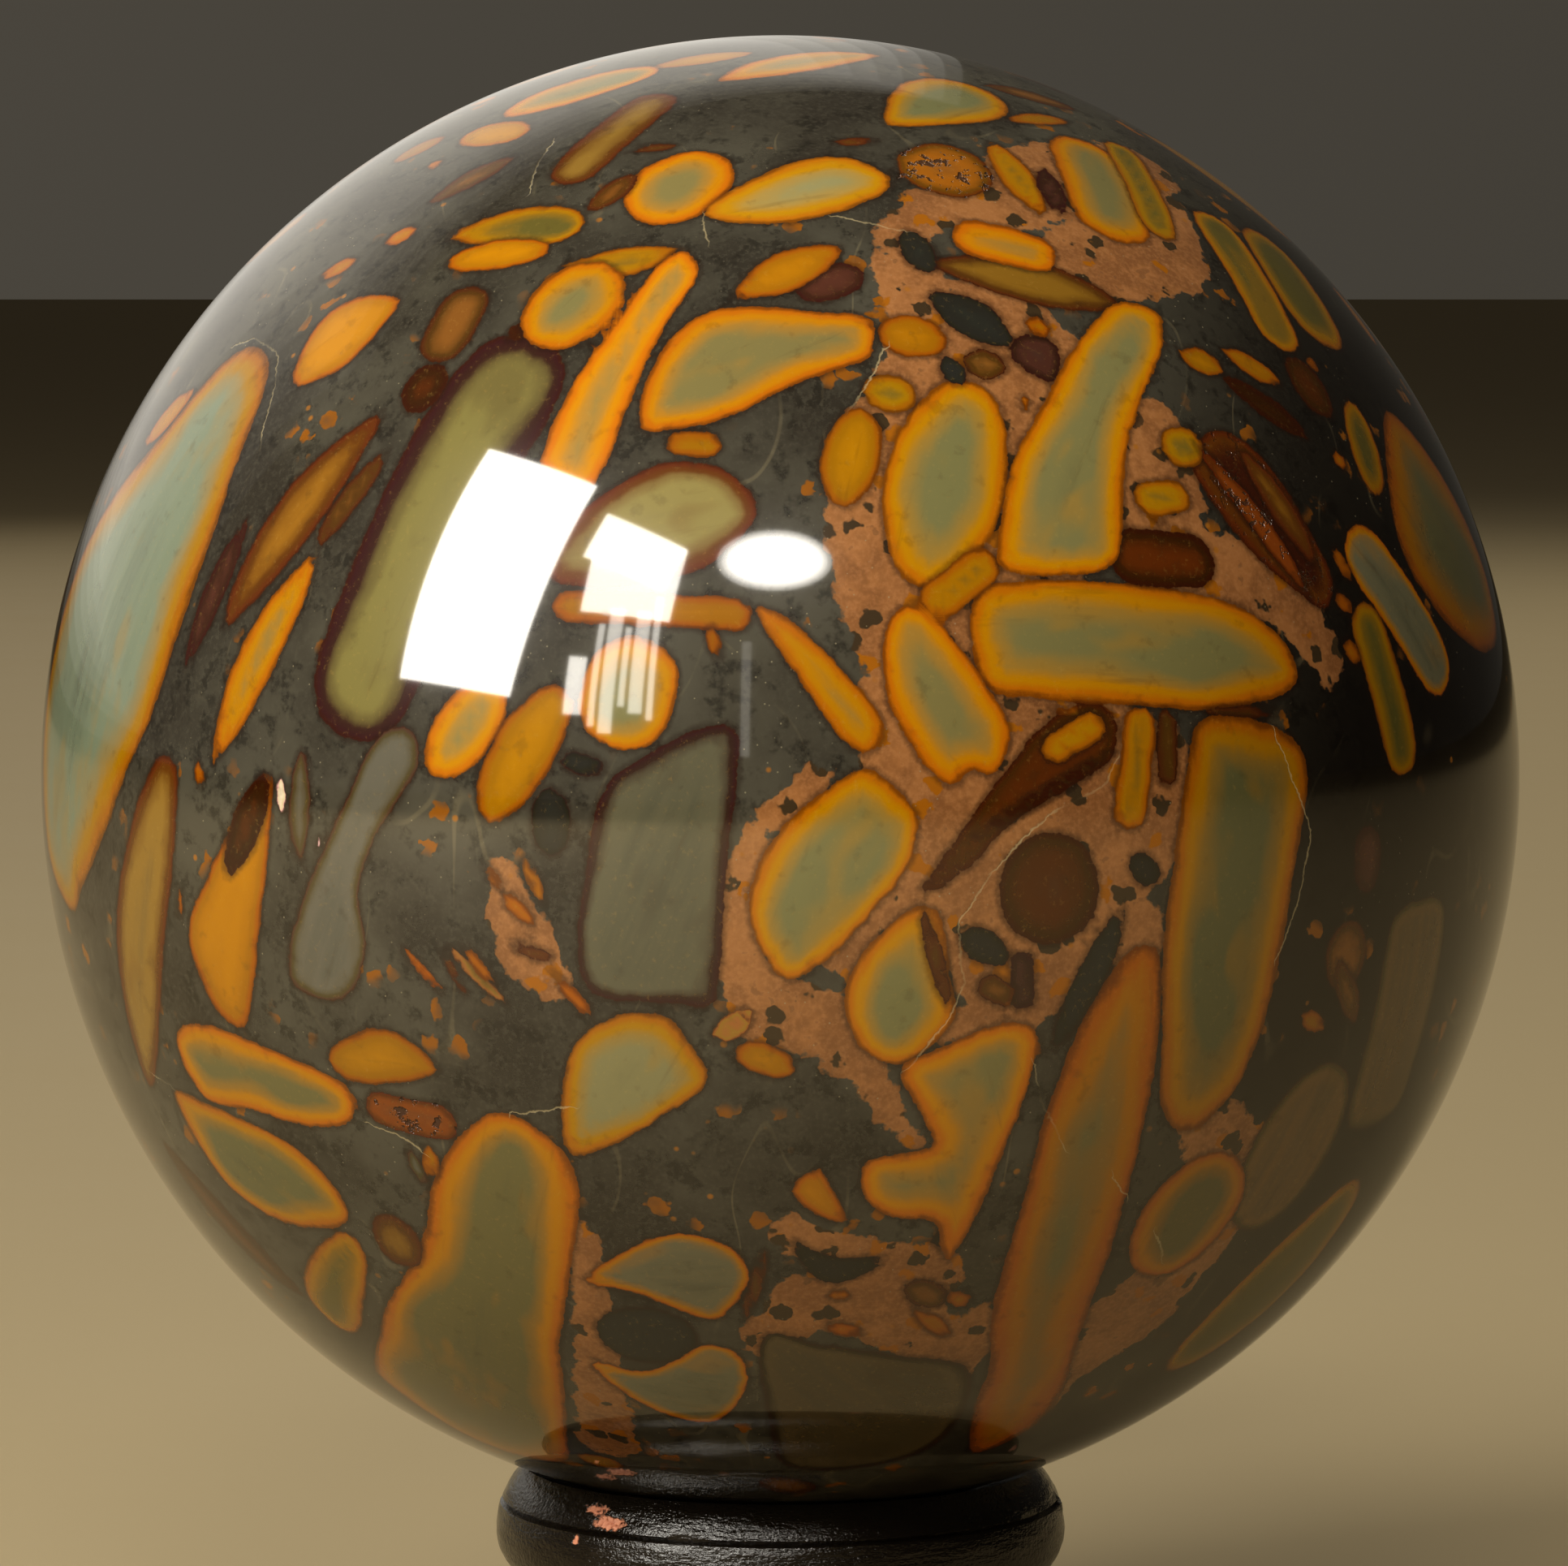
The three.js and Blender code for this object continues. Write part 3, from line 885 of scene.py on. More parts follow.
@dataclass
class Figure:
    """The stone's figure, measured at every place of the ball's surface."""

    directions: np.ndarray
    radius: float  # mm
    far: float = 6.0  # mm, beyond which an outline no longer matters
    apart: float = 1.8  # mm between pebbles of one layer
    skin: float = 0.2  # mm outside an outline that still belong to the pebble
    front_reach: float = 80.0  # degrees from the front in which the pebbles are listed
    # tries, and the least and greatest length in mm, of the pebbles laid at random
    fill_sizes: tuple[tuple[int, float, float], ...] = ((260, 24, 46), (800, 13, 26), (1800, 4, 12))
    small: float = 12.0  # mm, up to which a random pebble is of the small kinds
    highest: float = 89.0  # degrees up or down that a random pebble's tips may lie
    slimness: tuple[float, float] = (1.2, 3.6)  # least and greatest length by width
    heading: tuple[float, float] = (65, 38)  # degrees from level: their mean and spread
    shade_spread: float = 0.08  # how much pebbles of a kind differ in lightness
    warmth_spread: float = 0.04  # and in warmth
    layer_count: int = 3
    layers: list[Layer] = field(init=False)

    def __post_init__(self) -> None:
        """Start with no pebble anywhere."""
        self.rng = np.random.default_rng(SEED)
        self.layers = [Layer(len(self.directions), self.far) for _ in range(self.layer_count)]

    def lay(self, pebble: Inclusion, near: np.ndarray, depth: np.ndarray, flat: np.ndarray) -> None:
        """Set a pebble in the first layer that has room for it.

        Args:
            pebble: the pebble.
            near: the numbers of the places near it.
            depth: how far they lie outside its outline.
            flat: where they lie along and across it.
        """
        held = near[depth < self.skin]
        roomy = [layer for layer in self.layers if layer.room(held) > self.apart]
        layer = roomy[0] if roomy else max(self.layers, key=lambda each: each.room(held))
        won = depth < layer.edge[near]
        places = near[won]
        layer.edge[places] = depth[won]
        stone = pebble.kind.value
        shade = self.rng.normal(1, self.shade_spread)
        warmth = self.rng.normal(0, self.warmth_spread)
        tint = np.array([shade * (1 + warmth), shade, shade * (1 - warmth)])
        rim_width = stone.rim_width * self.rng.uniform(0.8, 1.2) / 10
        layer.rim[places] = [*(np.array(stone.rim) * tint), rim_width]
        layer.core[places] = [*(np.array(stone.core) * tint), stone.open]
        layer.grain[places, :2] = flat[won]
        layer.grain[places, 2] = self.rng.uniform(0, 90)

    def lay_front(self) -> None:
        """Lay the listed pebbles."""
        for pebble in FRONT_PEBBLES:
            self.lay(pebble, *pebble.depth(self.directions, self.radius, self.rng))

    def fill_rest(self) -> int:
        """Pack pebbles at random where none are listed, big ones first.

        Returns:
            How many found room.
        """
        front = outward((0, 0))
        laid = 0
        for tries, shortest, longest in self.fill_sizes:
            for _ in range(tries):
                pebble = self._chance_pebble(shortest, longest)
                near, depth, flat = pebble.depth(self.directions, self.radius, self.rng)
                held = near[depth < self.skin]
                hidden = (self.directions[held] @ front < math.cos(math.radians(self.front_reach))).all()
                if hidden and min(layer.room(held) for layer in self.layers) > self.apart / 2:
                    self.lay(pebble, near, depth, flat)
                    laid += 1
        return laid

    def _chance_pebble(self, shortest: float, longest: float) -> Pebble:
        """Pick a pebble and its place at random, most often standing steeply as those in front do.

        Args:
            shortest: the least length, in millimetres.
            longest: the greatest.

        Returns:
            The pebble.
        """
        east, sine = self.rng.uniform(-180, 180), self.rng.uniform(-1, 1)
        north = math.degrees(math.asin(sine))
        length = self.rng.uniform(shortest, longest)
        slim = self.rng.uniform(*self.slimness)
        heading = math.radians(self.rng.normal(*self.heading))
        span = math.degrees(length / 2 / self.radius)
        lift = span * math.sin(heading)
        drift = span * math.cos(heading) / max(math.cos(math.radians(north)), 0.25)
        form = self.rng.choice([OVAL, BAR, BAR, LEAF, DROP])
        kind = self.rng.choice(LARGE_KINDS if longest > self.small else SMALL_KINDS)
        low = max(-self.highest, min(self.highest, north - lift))
        high = max(-self.highest, min(self.highest, north + lift))
        taper = self.rng.uniform(-0.1, 0.25)
        bend = self.rng.normal(0, 0.05) * length
        return Pebble(kind, (east - drift, low), (east + drift, high), length / slim, form, taper, bend)

    def clay_edge(self) -> np.ndarray:
        """Measure how far each place lies outside the tan clay.

        Returns:
            Millimetres, negative inside it.
        """
        edge = np.full(len(self.directions), self.far)
        for stroke in CLAY_STROKES:
            for (*start, first), (*end, last) in zip(stroke, stroke[1:]):
                ends = np.stack([outward(start), outward(end)])
                chart = Chart(self.radius, *ends)
                line = chart.flatten(ends)
                near = chart.near(self.directions, np.ptp(line[:, 0]) / 2 + max(first, last) + self.far)
                gap, _, share = nearest_on_line(chart.flatten(self.directions[near]), line)
                edge[near] = np.minimum(edge[near], gap - (first + (last - first) * share))
        return edge

    def vein_sides(self) -> tuple[np.ndarray, np.ndarray]:
        """Measure how each place lies to the nearest healed crack.

        Returns:
            The distance in millimetres, positive to the crack's left, and the same without its sign.
        """
        side = np.full(len(self.directions), self.far)
        gap = np.full(len(self.directions), self.far)
        for vein in VEINS:
            corners = np.stack([outward(place) for place in vein])
            chart = Chart(self.radius, corners[0], corners[-1])
            line = chart.flatten(corners)
            near = chart.near(self.directions, np.abs(line).max() + self.far)
            far_off, left, _ = nearest_on_line(chart.flatten(self.directions[near]), line)
            won = far_off < gap[near]
            places = near[won]
            gap[places] = far_off[won]
            side[places] = (far_off * left)[won]
        return side, gap


# ---------------------------------------------------------------- finishes


@dataclass(frozen=True)
class PolishedStone:
    """The ball's finish: pebbles in mud and clay, ground flush and polished."""

    mud: Tone = tone(46, 42, 35)
    mud_light: Tone = tone(70, 67, 57)
    mud_dark: Tone = tone(26, 23, 18)
    # painted shade: the mud's colour on the ball's right side
    mud_painted_shade: Tone = tone(15, 9, 5)
    clay: Tone = tone(136, 94, 56)
    clay_dark: Tone = tone(104, 69, 40)
    clay_light: Tone = tone(154, 112, 74)
    clay_crumb: Tone = tone(70, 46, 30)
    ochre_chip: Tone = tone(136, 84, 14)
    dark_chip: Tone = tone(58, 46, 30)
    mud_chip: Tone = tone(120, 74, 16)
    fleck: Tone = tone(140, 92, 30)
    speck: Tone = tone(132, 124, 102)
    vein: Tone = tone(160, 146, 112)
    seam: Tone = tone(34, 20, 11)  # where the ground meets a pebble
    # painted shade inside the pits
    pit_painted_shade: Tone = tone(30, 14, 7)
    skin: Tone = tone(52, 20, 4)
    gilding: Tone = (1.02, 1.46, 1.0)  # what turns a rim's own tone into gold
    heart: Tone = tone(52, 58, 50)
    streak: Tone = tone(70, 46, 14)
    stain: Tone = tone(44, 32, 16)
    painted_glint: Tone = tone(170, 140, 76)
    grain_size: float = 0.55  # mm, as are the next four
    crumb_size: float = 2.2
    cloud_size: float = 11
    drift_size: float = 30
    pore_size: float = 1.5
    chip_grain: float = 0.34  # chips to a millimetre
    chip_bend: float = 2.4  # mm that a chip's edges wander
    fleck_grain: float = 0.28
    speck_grain: float = 0.9
    painted_shade_span: tuple[float, float] = (28, 62)  # mm to the right over which painted shade darkens the mud
    polish: float = 0.045  # roughness of the bare stone
    bending: float = 1.66  # of light, by the stone
    haze: float = 0.14  # share of the polish that a soft film covers
    haze_roughness: float = 0.26

    def material(self) -> bpy.types.Material:
        """Make the material.

        Returns:
            The polished stone.
        """
        sheet = Sheet("polished_pebble_stone")
        place = sheet.millimetres()
        grain = sheet.noise(place, self.grain_size, 3, 0.65)
        crumb = sheet.noise(place, self.crumb_size, 3, 0.6)
        cloud = sheet.noise(place, self.cloud_size, 3, 0.55)
        drift = sheet.noise(place, self.drift_size, 2)

        colour = self._ground(sheet, place, grain, crumb, cloud, drift)
        pits, wobble = 0.0, (crumb - 0.5) * 0.75 + (grain - 0.5) * 0.25
        pores = sheet.noise(place, self.pore_size, 3, 0.7).step(0.56, 0.64)
        for number in reversed(range(Figure.layer_count)):
            edge = sheet.attribute(f"edge_{number}") + wobble
            inside = edge.step(0.09, -0.09)
            colour = sheet.mix(edge.step(0.75, 0.0) * 0.55, colour, self.seam)
            colour = sheet.mix(inside, colour, self._pebble(sheet, number, edge, grain, crumb))
            pits = inside * sheet.attribute(f"core_{number}", "Alpha") * pores + (1.0 - inside) * pits
        side = sheet.attribute("vein_side") + (crumb - 0.5) * 0.9 + (grain - 0.5) * 0.3
        line = abs(side).step(0.16, 0.03)
        vein = line * sheet.attribute("vein_gap").step(1.5, 0.9) * cloud.step(0.34, 0.56)
        colour = sheet.mix(vein * 0.55, colour, self.vein)
        # painted shade: the pits are darkened almost to black for the shade inside the hollows
        colour = sheet.mix(pits * 0.85, colour, self.pit_painted_shade)
        rough = pits * 0.5 + vein * 0.12 + crumb.step(0.62, 0.8) * 0.03 + self.polish
        height = pits * -0.25 + vein * -0.02
        plain = {"IOR": self.bending, "Coat Weight": self.haze, "Coat Roughness": self.haze_roughness}
        return sheet.finish(colour, rough, height, plain)

    def _ground(self, sheet: Sheet, place: Wire, grain: Wire, crumb: Wire, cloud: Wire,
                drift: Wire) -> Wire:
        """Colour what lies between the pebbles: dark mud, tan clay in places, and painted shade to the
        right.

        Args:
            sheet: the material's tree.
            place: in millimetres.
            grain: the finest noise.
            crumb: noise of a few millimetres.
            cloud: noise of a centimetre.
            drift: noise of several centimetres.

        Returns:
            The colour.
        """
        mud = sheet.mix((cloud * 0.6 + drift * 0.5).step(0.42, 0.72), self.mud, self.mud_light)
        mud = sheet.mix(crumb.step(0.5, 0.3) * 0.6, mud, self.mud_dark)
        mud = sheet.mix(grain.step(0.45, 0.75) * 0.5, mud, self.mud_light)
        # painted shade: the mud darkens towards the right (+X), from whichever side the ball is seen
        east = sheet.axis(place, "X") + (cloud - 0.5) * 20
        mud = sheet.mix(east.step(*self.painted_shade_span) * 0.85, mud, self.mud_painted_shade)
        scratch = abs(sheet.noise(sheet.stretched(place, (1, 0.6, 0.4)), 12, 1) - 0.5).step(0.008, 0.002)
        mud = sheet.mix(scratch * cloud.step(0.45, 0.65) * 0.12, mud, self.vein)
        clay = sheet.mix((crumb * 0.4 + cloud * 0.6).step(0.6, 0.42) * 0.7, self.clay, self.clay_dark)
        clay = sheet.mix(grain.step(0.4, 0.75) * 0.35, clay, self.clay_light)
        clay = sheet.mix(crumb.step(0.64, 0.7) * 0.4, clay, self.clay_crumb)
        bend = sheet.noise(place, 1.6, 2, 0.5, "Color")
        reach = (self.chip_bend, self.chip_bend, self.chip_bend)
        settings = {"operation": "MULTIPLY_ADD"}
        bent = sheet.add("ShaderNodeVectorMath", settings, {0: bend, 1: reach, 2: place})
        chips = sheet.cells(bent, self.chip_grain).step(0.4, 0.32)
        pick = sheet.cells(bent, self.chip_grain, "Color")
        clay = sheet.mix(chips * pick.step(0.62, 0.64), clay, self.ochre_chip)
        clay = sheet.mix(chips * pick.step(0.4, 0.38), clay, self.dark_chip)
        mud = sheet.mix(chips * pick.step(0.64, 0.66) * cloud.step(0.5, 0.62), mud, self.mud_chip)
        clay_edge = sheet.attribute("clay_edge") + (crumb - 0.5) * 3.6 + (cloud - 0.5) * 2.5
        ground = sheet.mix(clay_edge.step(0.2, -0.2), mud, clay)
        flecks = sheet.cells(place, self.fleck_grain).step(0.13, 0.06) * cloud.step(0.5, 0.6)
        specks = sheet.cells(place, self.speck_grain).step(0.11, 0.05) * drift.step(0.45, 0.6)
        return sheet.mix(specks * 0.6, sheet.mix(flecks * 0.8, ground, self.fleck), self.speck)

    def _pebble(self, sheet: Sheet, number: int, edge: Wire, grain: Wire, crumb: Wire) -> Wire:
        """Colour a layer's pebbles from the skin inwards, with painted glints over them.

        Args:
            sheet: the material's tree.
            number: the layer's.
            edge: distance outside the outline in millimetres.
            grain: the finest noise.
            crumb: noise of a few millimetres.

        Returns:
            The colour.
        """
        rim = sheet.attribute(f"rim_{number}", "Color")
        core = sheet.attribute(f"core_{number}", "Color")
        along = sheet.attribute(f"grain_{number}", "Vector")
        streak = sheet.noise(sheet.stretched(along, (0.12, 1.0, 1.0)), 1.7, 4, 0.6)
        patch = sheet.noise(sheet.stretched(along, (0.5, 1.0, 1.0)), 6.0, 2)
        swell = sheet.noise(along, 13, 0)
        rim_width = sheet.attribute(f"rim_{number}", "Alpha") * (patch * 9 + swell * 11 + 0.5)
        depth = -edge / rim_width + (grain - 0.5) * 0.22 + (streak - 0.5) * 0.3
        skin = sheet.mix(0.62, rim, self.skin)
        gold = sheet.mix(1.0, rim, self.gilding, "MULTIPLY")
        colour = sheet.mix(depth.step(0.02, 0.22), skin, rim)
        colour = sheet.mix(depth.step(0.18, 0.5), colour, gold)
        colour = sheet.mix(depth.step(0.5, 0.95), colour, sheet.mix(0.55, gold, core))
        colour = sheet.mix(depth.step(0.85, 1.5), colour, core)
        colour = sheet.mix(depth.step(1.0, 1.5) * patch.step(0.52, 0.66) * 0.3, colour, gold)
        heart = sheet.mix(0.4, core, self.heart)
        colour = sheet.mix(depth.step(1.8, 3.4) * streak.step(0.3, 0.7) * 0.7, colour, heart)
        colour = sheet.mix(streak.step(0.6, 0.74) * 0.2, colour, self.streak)
        colour = sheet.mix(crumb.step(0.58, 0.72) * 0.2, colour, self.stain)
        # painted glints: fine light specks over the pebbles
        return sheet.mix(grain.step(0.55, 0.8) * 0.14, colour, self.painted_glint)


@dataclass(frozen=True)
class BrushedLacquer:
    """The stand's finish: thick black lacquer laid on with a brush, flaked here and there."""

    lacquer: Tone = tone(20, 15, 9)
    worn: Tone = tone(44, 34, 26)
    bare_wood: Tone = tone(188, 128, 100)
    bare_grain: Tone = tone(150, 84, 56)
    grain_size: float = 0.5  # mm, as are the next two
    lump_size: float = 1.1
    cloud_size: float = 9
    brushing: tuple[float, float, float] = (0.3, 0.3, 1.4)  # lumps are drawn out round the ring
    gloss: float = 0.05  # roughness of the smoothest lacquer
    bending: float = 1.5  # of light, by the lacquer

    def material(self) -> bpy.types.Material:
        """Make the material.

        Returns:
            The brushed lacquer.
        """
        sheet = Sheet("brushed_black_lacquer")
        place = sheet.millimetres()
        grain = sheet.noise(place, self.grain_size, 3, 0.6)
        lump = sheet.noise(sheet.stretched(place, self.brushing), self.lump_size, 4, 0.62)
        cloud = sheet.noise(place, self.cloud_size, 2)
        flake_edge = sheet.attribute("flake_edge") + (grain - 0.5) * 0.9 + (lump - 0.5) * 0.6
        flake = flake_edge.step(0.12, -0.12)
        colour = sheet.mix(lump.step(0.6, 0.8) * 0.5, self.lacquer, self.worn)
        wood = sheet.mix(grain.step(0.4, 0.7), self.bare_wood, self.bare_grain)
        colour = sheet.mix(flake, colour, wood)
        rough = cloud * 0.1 + lump.step(0.5, 0.8) * 0.12 + flake * 0.45 + self.gloss
        height = lump * 0.2 + grain * 0.13 + flake * -0.12
        return sheet.finish(colour, rough, height, {"IOR": self.bending})


@dataclass(frozen=True)
class PaleFloor:
    """The floor that the part stands on."""

    pale: Tone = tone(146, 132, 102)
    paler: Tone = tone(156, 140, 108)
    cloud_size: float = 60  # mm

    def material(self) -> bpy.types.Material:
        """Make the material.

        Returns:
            A matt, plain floor.
        """
        sheet = Sheet("pale_floor")
        cloud = sheet.noise(sheet.millimetres(), self.cloud_size, 3)
        colour = sheet.mix(cloud * 0.08, self.pale, self.paler)
        return sheet.finish(colour, cloud * 0.1 + 0.7, cloud * 0.02, {"IOR": 1.4})


# ---------------------------------------------------------------- the two pieces


def start_piece(name: str, add: Callable[[], object]) -> bpy.types.Object:
    """Add a primitive with nothing else selected.

    Args:
        name: the new piece's name.
        add: adds the primitive.

    Returns:
        The piece.
    """
    bpy.ops.object.select_all(action="DESELECT")
    add()
    piece = bpy.context.object
    piece.name = name
    piece.data.name = name
    return piece


def vertices_of(mesh: bpy.types.Mesh) -> np.ndarray:
    """Read a mesh's vertices.

    Args:
        mesh: the mesh.

    Returns:
        Their places, one row each.
    """
    flat = np.empty(len(mesh.vertices) * 3)
    mesh.vertices.foreach_get("co", flat)
    return flat.reshape(-1, 3)


def store(mesh: bpy.types.Mesh, name: str, values: np.ndarray) -> None:
    """Store a number, a vector or a colour at every vertex.

    Args:
        mesh: the mesh.
        name: what the materials call it.
        values: one row for each vertex, of 1, 3 or 4 numbers.
    """
    kinds = {1: ("FLOAT", "value"), 3: ("FLOAT_VECTOR", "vector"), 4: ("FLOAT_COLOR", "color")}
    kind, key = kinds[values.shape[1] if values.ndim > 1 else 1]
    mesh.attributes.new(name, kind, "POINT").data.foreach_set(key, values.astype(np.float32).ravel())


def hand_over(piece: bpy.types.Object, material: bpy.types.Material, node: str) -> None:
    """Dress a finished piece and put it in a CAD node's place.

    Args:
        piece: the piece.
        material: its finish.
        node: the CAD node that it replaces.
    """
    piece.data.materials.clear()
    piece.data.materials.append(material)
    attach(piece, BODY)
    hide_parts(node)
    log.info("%s: %d faces", piece.name, len(piece.data.polygons))


@dataclass
class StoneBall:
    """The polished ball."""

    node: str = "stone_ball"
    panels: int = 128  # quads along each edge of the cube that is blown up into the ball
    map_margin: float = 0.992  # share of its sixth of the map that a side of the cube fills
    finish: PolishedStone = PolishedStone()

    def __post_init__(self) -> None:
        """Take the ball's size and place from the frame."""
        low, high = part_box(self.node)
        self.centre = np.array((low + high) / 2)
        self.radius = (high.x - low.x) / 2

    def build(self) -> bpy.types.Object:
        """Model and dress the ball.

        Returns:
            The finished piece.
        """
        piece = start_piece("polished_ball", lambda: bpy.ops.mesh.primitive_cube_add(size=2))
        bpy.ops.object.mode_set(mode="EDIT")
        bpy.ops.mesh.select_all(action="SELECT")
        bpy.ops.mesh.subdivide(number_cuts=self.panels - 1)
        bpy.ops.object.mode_set(mode="OBJECT")
        mesh = piece.data
        cube = vertices_of(mesh)
        self._map_for_baking(mesh, cube)
        blown = np.tan(cube * math.pi / 4)
        directions = blown / np.linalg.norm(blown, axis=1, keepdims=True)
        mesh.vertices.foreach_set("co", (self.centre + directions * self.radius).ravel())
        self._figure(mesh, directions)
        bpy.ops.object.shade_smooth()
        mesh.update()
        hand_over(piece, self.finish.material(), self.node)
        return piece

    def _map_for_baking(self, mesh: bpy.types.Mesh, cube: np.ndarray) -> None:
        """Give each side of the cube its own sixth of the map, so that the whole map is used.

        Args:
            mesh: the mesh, still a cube.
            cube: its vertices, one row each, between -1 and 1.
        """
        corners = np.empty(len(mesh.loops), int)
        mesh.loops.foreach_get("vertex_index", corners)
        middles = np.empty(len(mesh.polygons) * 3)
        mesh.polygons.foreach_get("center", middles)
        middles = middles.reshape(-1, 3).repeat(4, axis=0)
        axis = np.abs(middles).argmax(1)
        rows = np.arange(len(axis))
        positive = middles[rows, axis] > 0
        across = cube[corners][rows, (axis + 1) % 3]
        upward = cube[corners][rows, (axis + 2) % 3]
        column = (axis + (across * self.map_margin + 1) / 2) / 3
        row = (positive + (upward * self.map_margin + 1) / 2) / 2
        while mesh.uv_layers:
            mesh.uv_layers.remove(mesh.uv_layers[0])
        layer = mesh.uv_layers.new(name=BAKE_MAP)
        layer.data.foreach_set("uv", np.stack([column, row], 1).astype(np.float32).ravel())

    def _figure(self, mesh: bpy.types.Mesh, directions: np.ndarray) -> None:
        """Lay the stone's figure on the mesh.

        Args:
            mesh: the ball's mesh.
            directions: from its middle to each vertex.
        """
        figure = Figure(directions, self.radius / MM)
        figure.lay_front()
        laid = figure.fill_rest()
        side, gap = figure.vein_sides()
        for name, values in (("clay_edge", figure.clay_edge()), ("vein_side", side), ("vein_gap", gap)):
            store(mesh, name, values)
        for number, layer in enumerate(figure.layers):
            for name in ("edge", "rim", "core", "grain"):
                store(mesh, f"{name}_{number}", getattr(layer, name))
        log.info("figure: %d pebbles by hand, %d packed behind", len(FRONT_PEBBLES), laid)


@dataclass
class RingStand:
    """The turned ring that the ball rests in; sizes in millimetres."""

    node: str = "ring_stand"
    finish: BrushedLacquer = BrushedLacquer()
    around: int = 512
    belly_radius: float = 31.1
    belly_depth: float = 7.0
    belly_upper: float = 9.3
    belly_lower: float = 5.7
    belly_tuck: float = -80.0
    groove_angle: float = 20.0
    groove_half: float = 2.2
    groove_depth: float = 0.5
    neck_radius: float = 24.9
    fillet: float = 0.9
    foot_round: float = 4.8
    plinth_radius: float = 34.0
    plinth_height: float = 0.9
    bore_radius: float = 21.0
    seat_slope: float = math.degrees(math.asin(25 / 80.3))
    brush_depth: float = 0.045
    brush_waves: int = 26  # laid over each other
    flake_depth: float = 0.12
    flake_reach: float = 4.0  # beyond which a flake no longer matters
    lift_limit: float = 0.3  # how far the lacquer may stand out
    spacing: float = 0.62  # between the section's points
    eased: float = 48.0  # degrees, up to which the edge between two faces is shown round
    # where the lacquer has flaked off: degrees east of the front, height, half width, half height
    flakes: tuple[tuple[float, float, float, float], ...] = (
        (-41.5, 30.4, 1.6, 0.45), (-37.5, 29.3, 1.9, 0.6), (-45.0, 27.2, 0.45, 0.45),
        (-43.0, 22.6, 0.8, 0.9), (95.0, 9.6, 1.6, 0.6), (-150.0, 30.2, 1.8, 0.6), (152.0, 24.0, 0.9, 0.7),
        (20.0, 5.4, 1.3, 0.6),
    )
    # runs and grit in the lacquer: degrees east of the front, height, spread, rise
    beads: tuple[tuple[float, float, float, float], ...] = (
        (84.0, 27.9, 0.7, 0.35), (-12.0, 24.0, 1.2, 0.25), (130.0, 6.0, 1.2, 0.3),
        (-100.0, 22.0, 0.9, 0.25),
    )

    def __post_init__(self) -> None:
        """Take the stand's height and greatest radius from the frame."""
        low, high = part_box(self.node)
        self.height = (high.z - low.z) / MM
        self.base_radius = (high.x - low.x) / 2 / MM

    def _arc(self, centre: Point, radius: float, start: float, end: float) -> list[Point]:
        """Give points along an arc; 0 degrees is straight outwards and 90 straight up.

        Args:
            centre: the arc's centre in the section.
            radius: the arc's own radius.
            start: degrees at which it starts.
            end: degrees at which it ends.

        Returns:
            Radius and height of each point, both ends included.
        """
        count = max(2, math.ceil(radius * math.radians(abs(end - start)) / self.spacing))
        turns = [math.radians(start + (end - start) * i / count) for i in range(count + 1)]
        return [(centre[0] + radius * math.cos(t), centre[1] + radius * math.sin(t)) for t in turns]

    def section(self) -> np.ndarray:
        """Draw half the stand's section.

        Returns:
            Radius and height of its points, once round.
        """
        foot = (self.base_radius - self.foot_round, self.plinth_height + self.foot_round)
        foot_start = -math.degrees(math.acos((self.plinth_radius - foot[0]) / self.foot_round))
        foot_top = foot[1] + self.foot_round + self.fillet
        hollow = foot[0] - self.neck_radius
        belly = self.height - self.belly_depth
        upper = (self.belly_radius - self.belly_upper, belly)
        lower = (self.belly_radius - self.belly_lower, belly)
        tucked = self._arc(lower, self.belly_lower, self.belly_tuck, 0)
        lip_angle = math.degrees(math.asin(self.belly_depth / self.belly_upper))
        lip = self.belly_radius - self.belly_upper * (1 - math.cos(math.radians(lip_angle)))
        seat_foot = self.height - (lip - self.bore_radius) * math.tan(math.radians(self.seat_slope))
        groove_floor = self.belly_upper - self.groove_depth
        groove = self._arc(upper, groove_floor, self.groove_angle, self.groove_angle)[:1]
        corners = [
            (self.bore_radius, 0.0), (self.plinth_radius, 0.0),
            *self._arc(foot, self.foot_round, foot_start, 90),
            (foot[0], foot_top),
            *self._arc((self.neck_radius + hollow, foot_top + hollow), hollow, -90, -180)[1:],
            (self.neck_radius, tucked[0][1] - self.fillet), (tucked[0][0], tucked[0][1] - self.fillet),
            *tucked,
            *self._arc(upper, self.belly_upper, 0, self.groove_angle - self.groove_half)[1:],
            *groove,
            *self._arc(upper, self.belly_upper, self.groove_angle + self.groove_half, lip_angle),
            (self.bore_radius, seat_foot),
        ]
        return self._evenly(np.array(corners))

    def _evenly(self, corners: np.ndarray) -> np.ndarray:
        """Add points along the straights, at about the spacing.

        Args:
            corners: radius and height of the section's corners.

        Returns:
            Radius and height of all its points.
        """
        points = []
        for start, end in zip(corners, np.roll(corners, -1, axis=0)):
            count = max(1, round(np.linalg.norm(end - start) / self.spacing))
            points += [start + (end - start) * i / count for i in range(count)]
        return np.array(points)

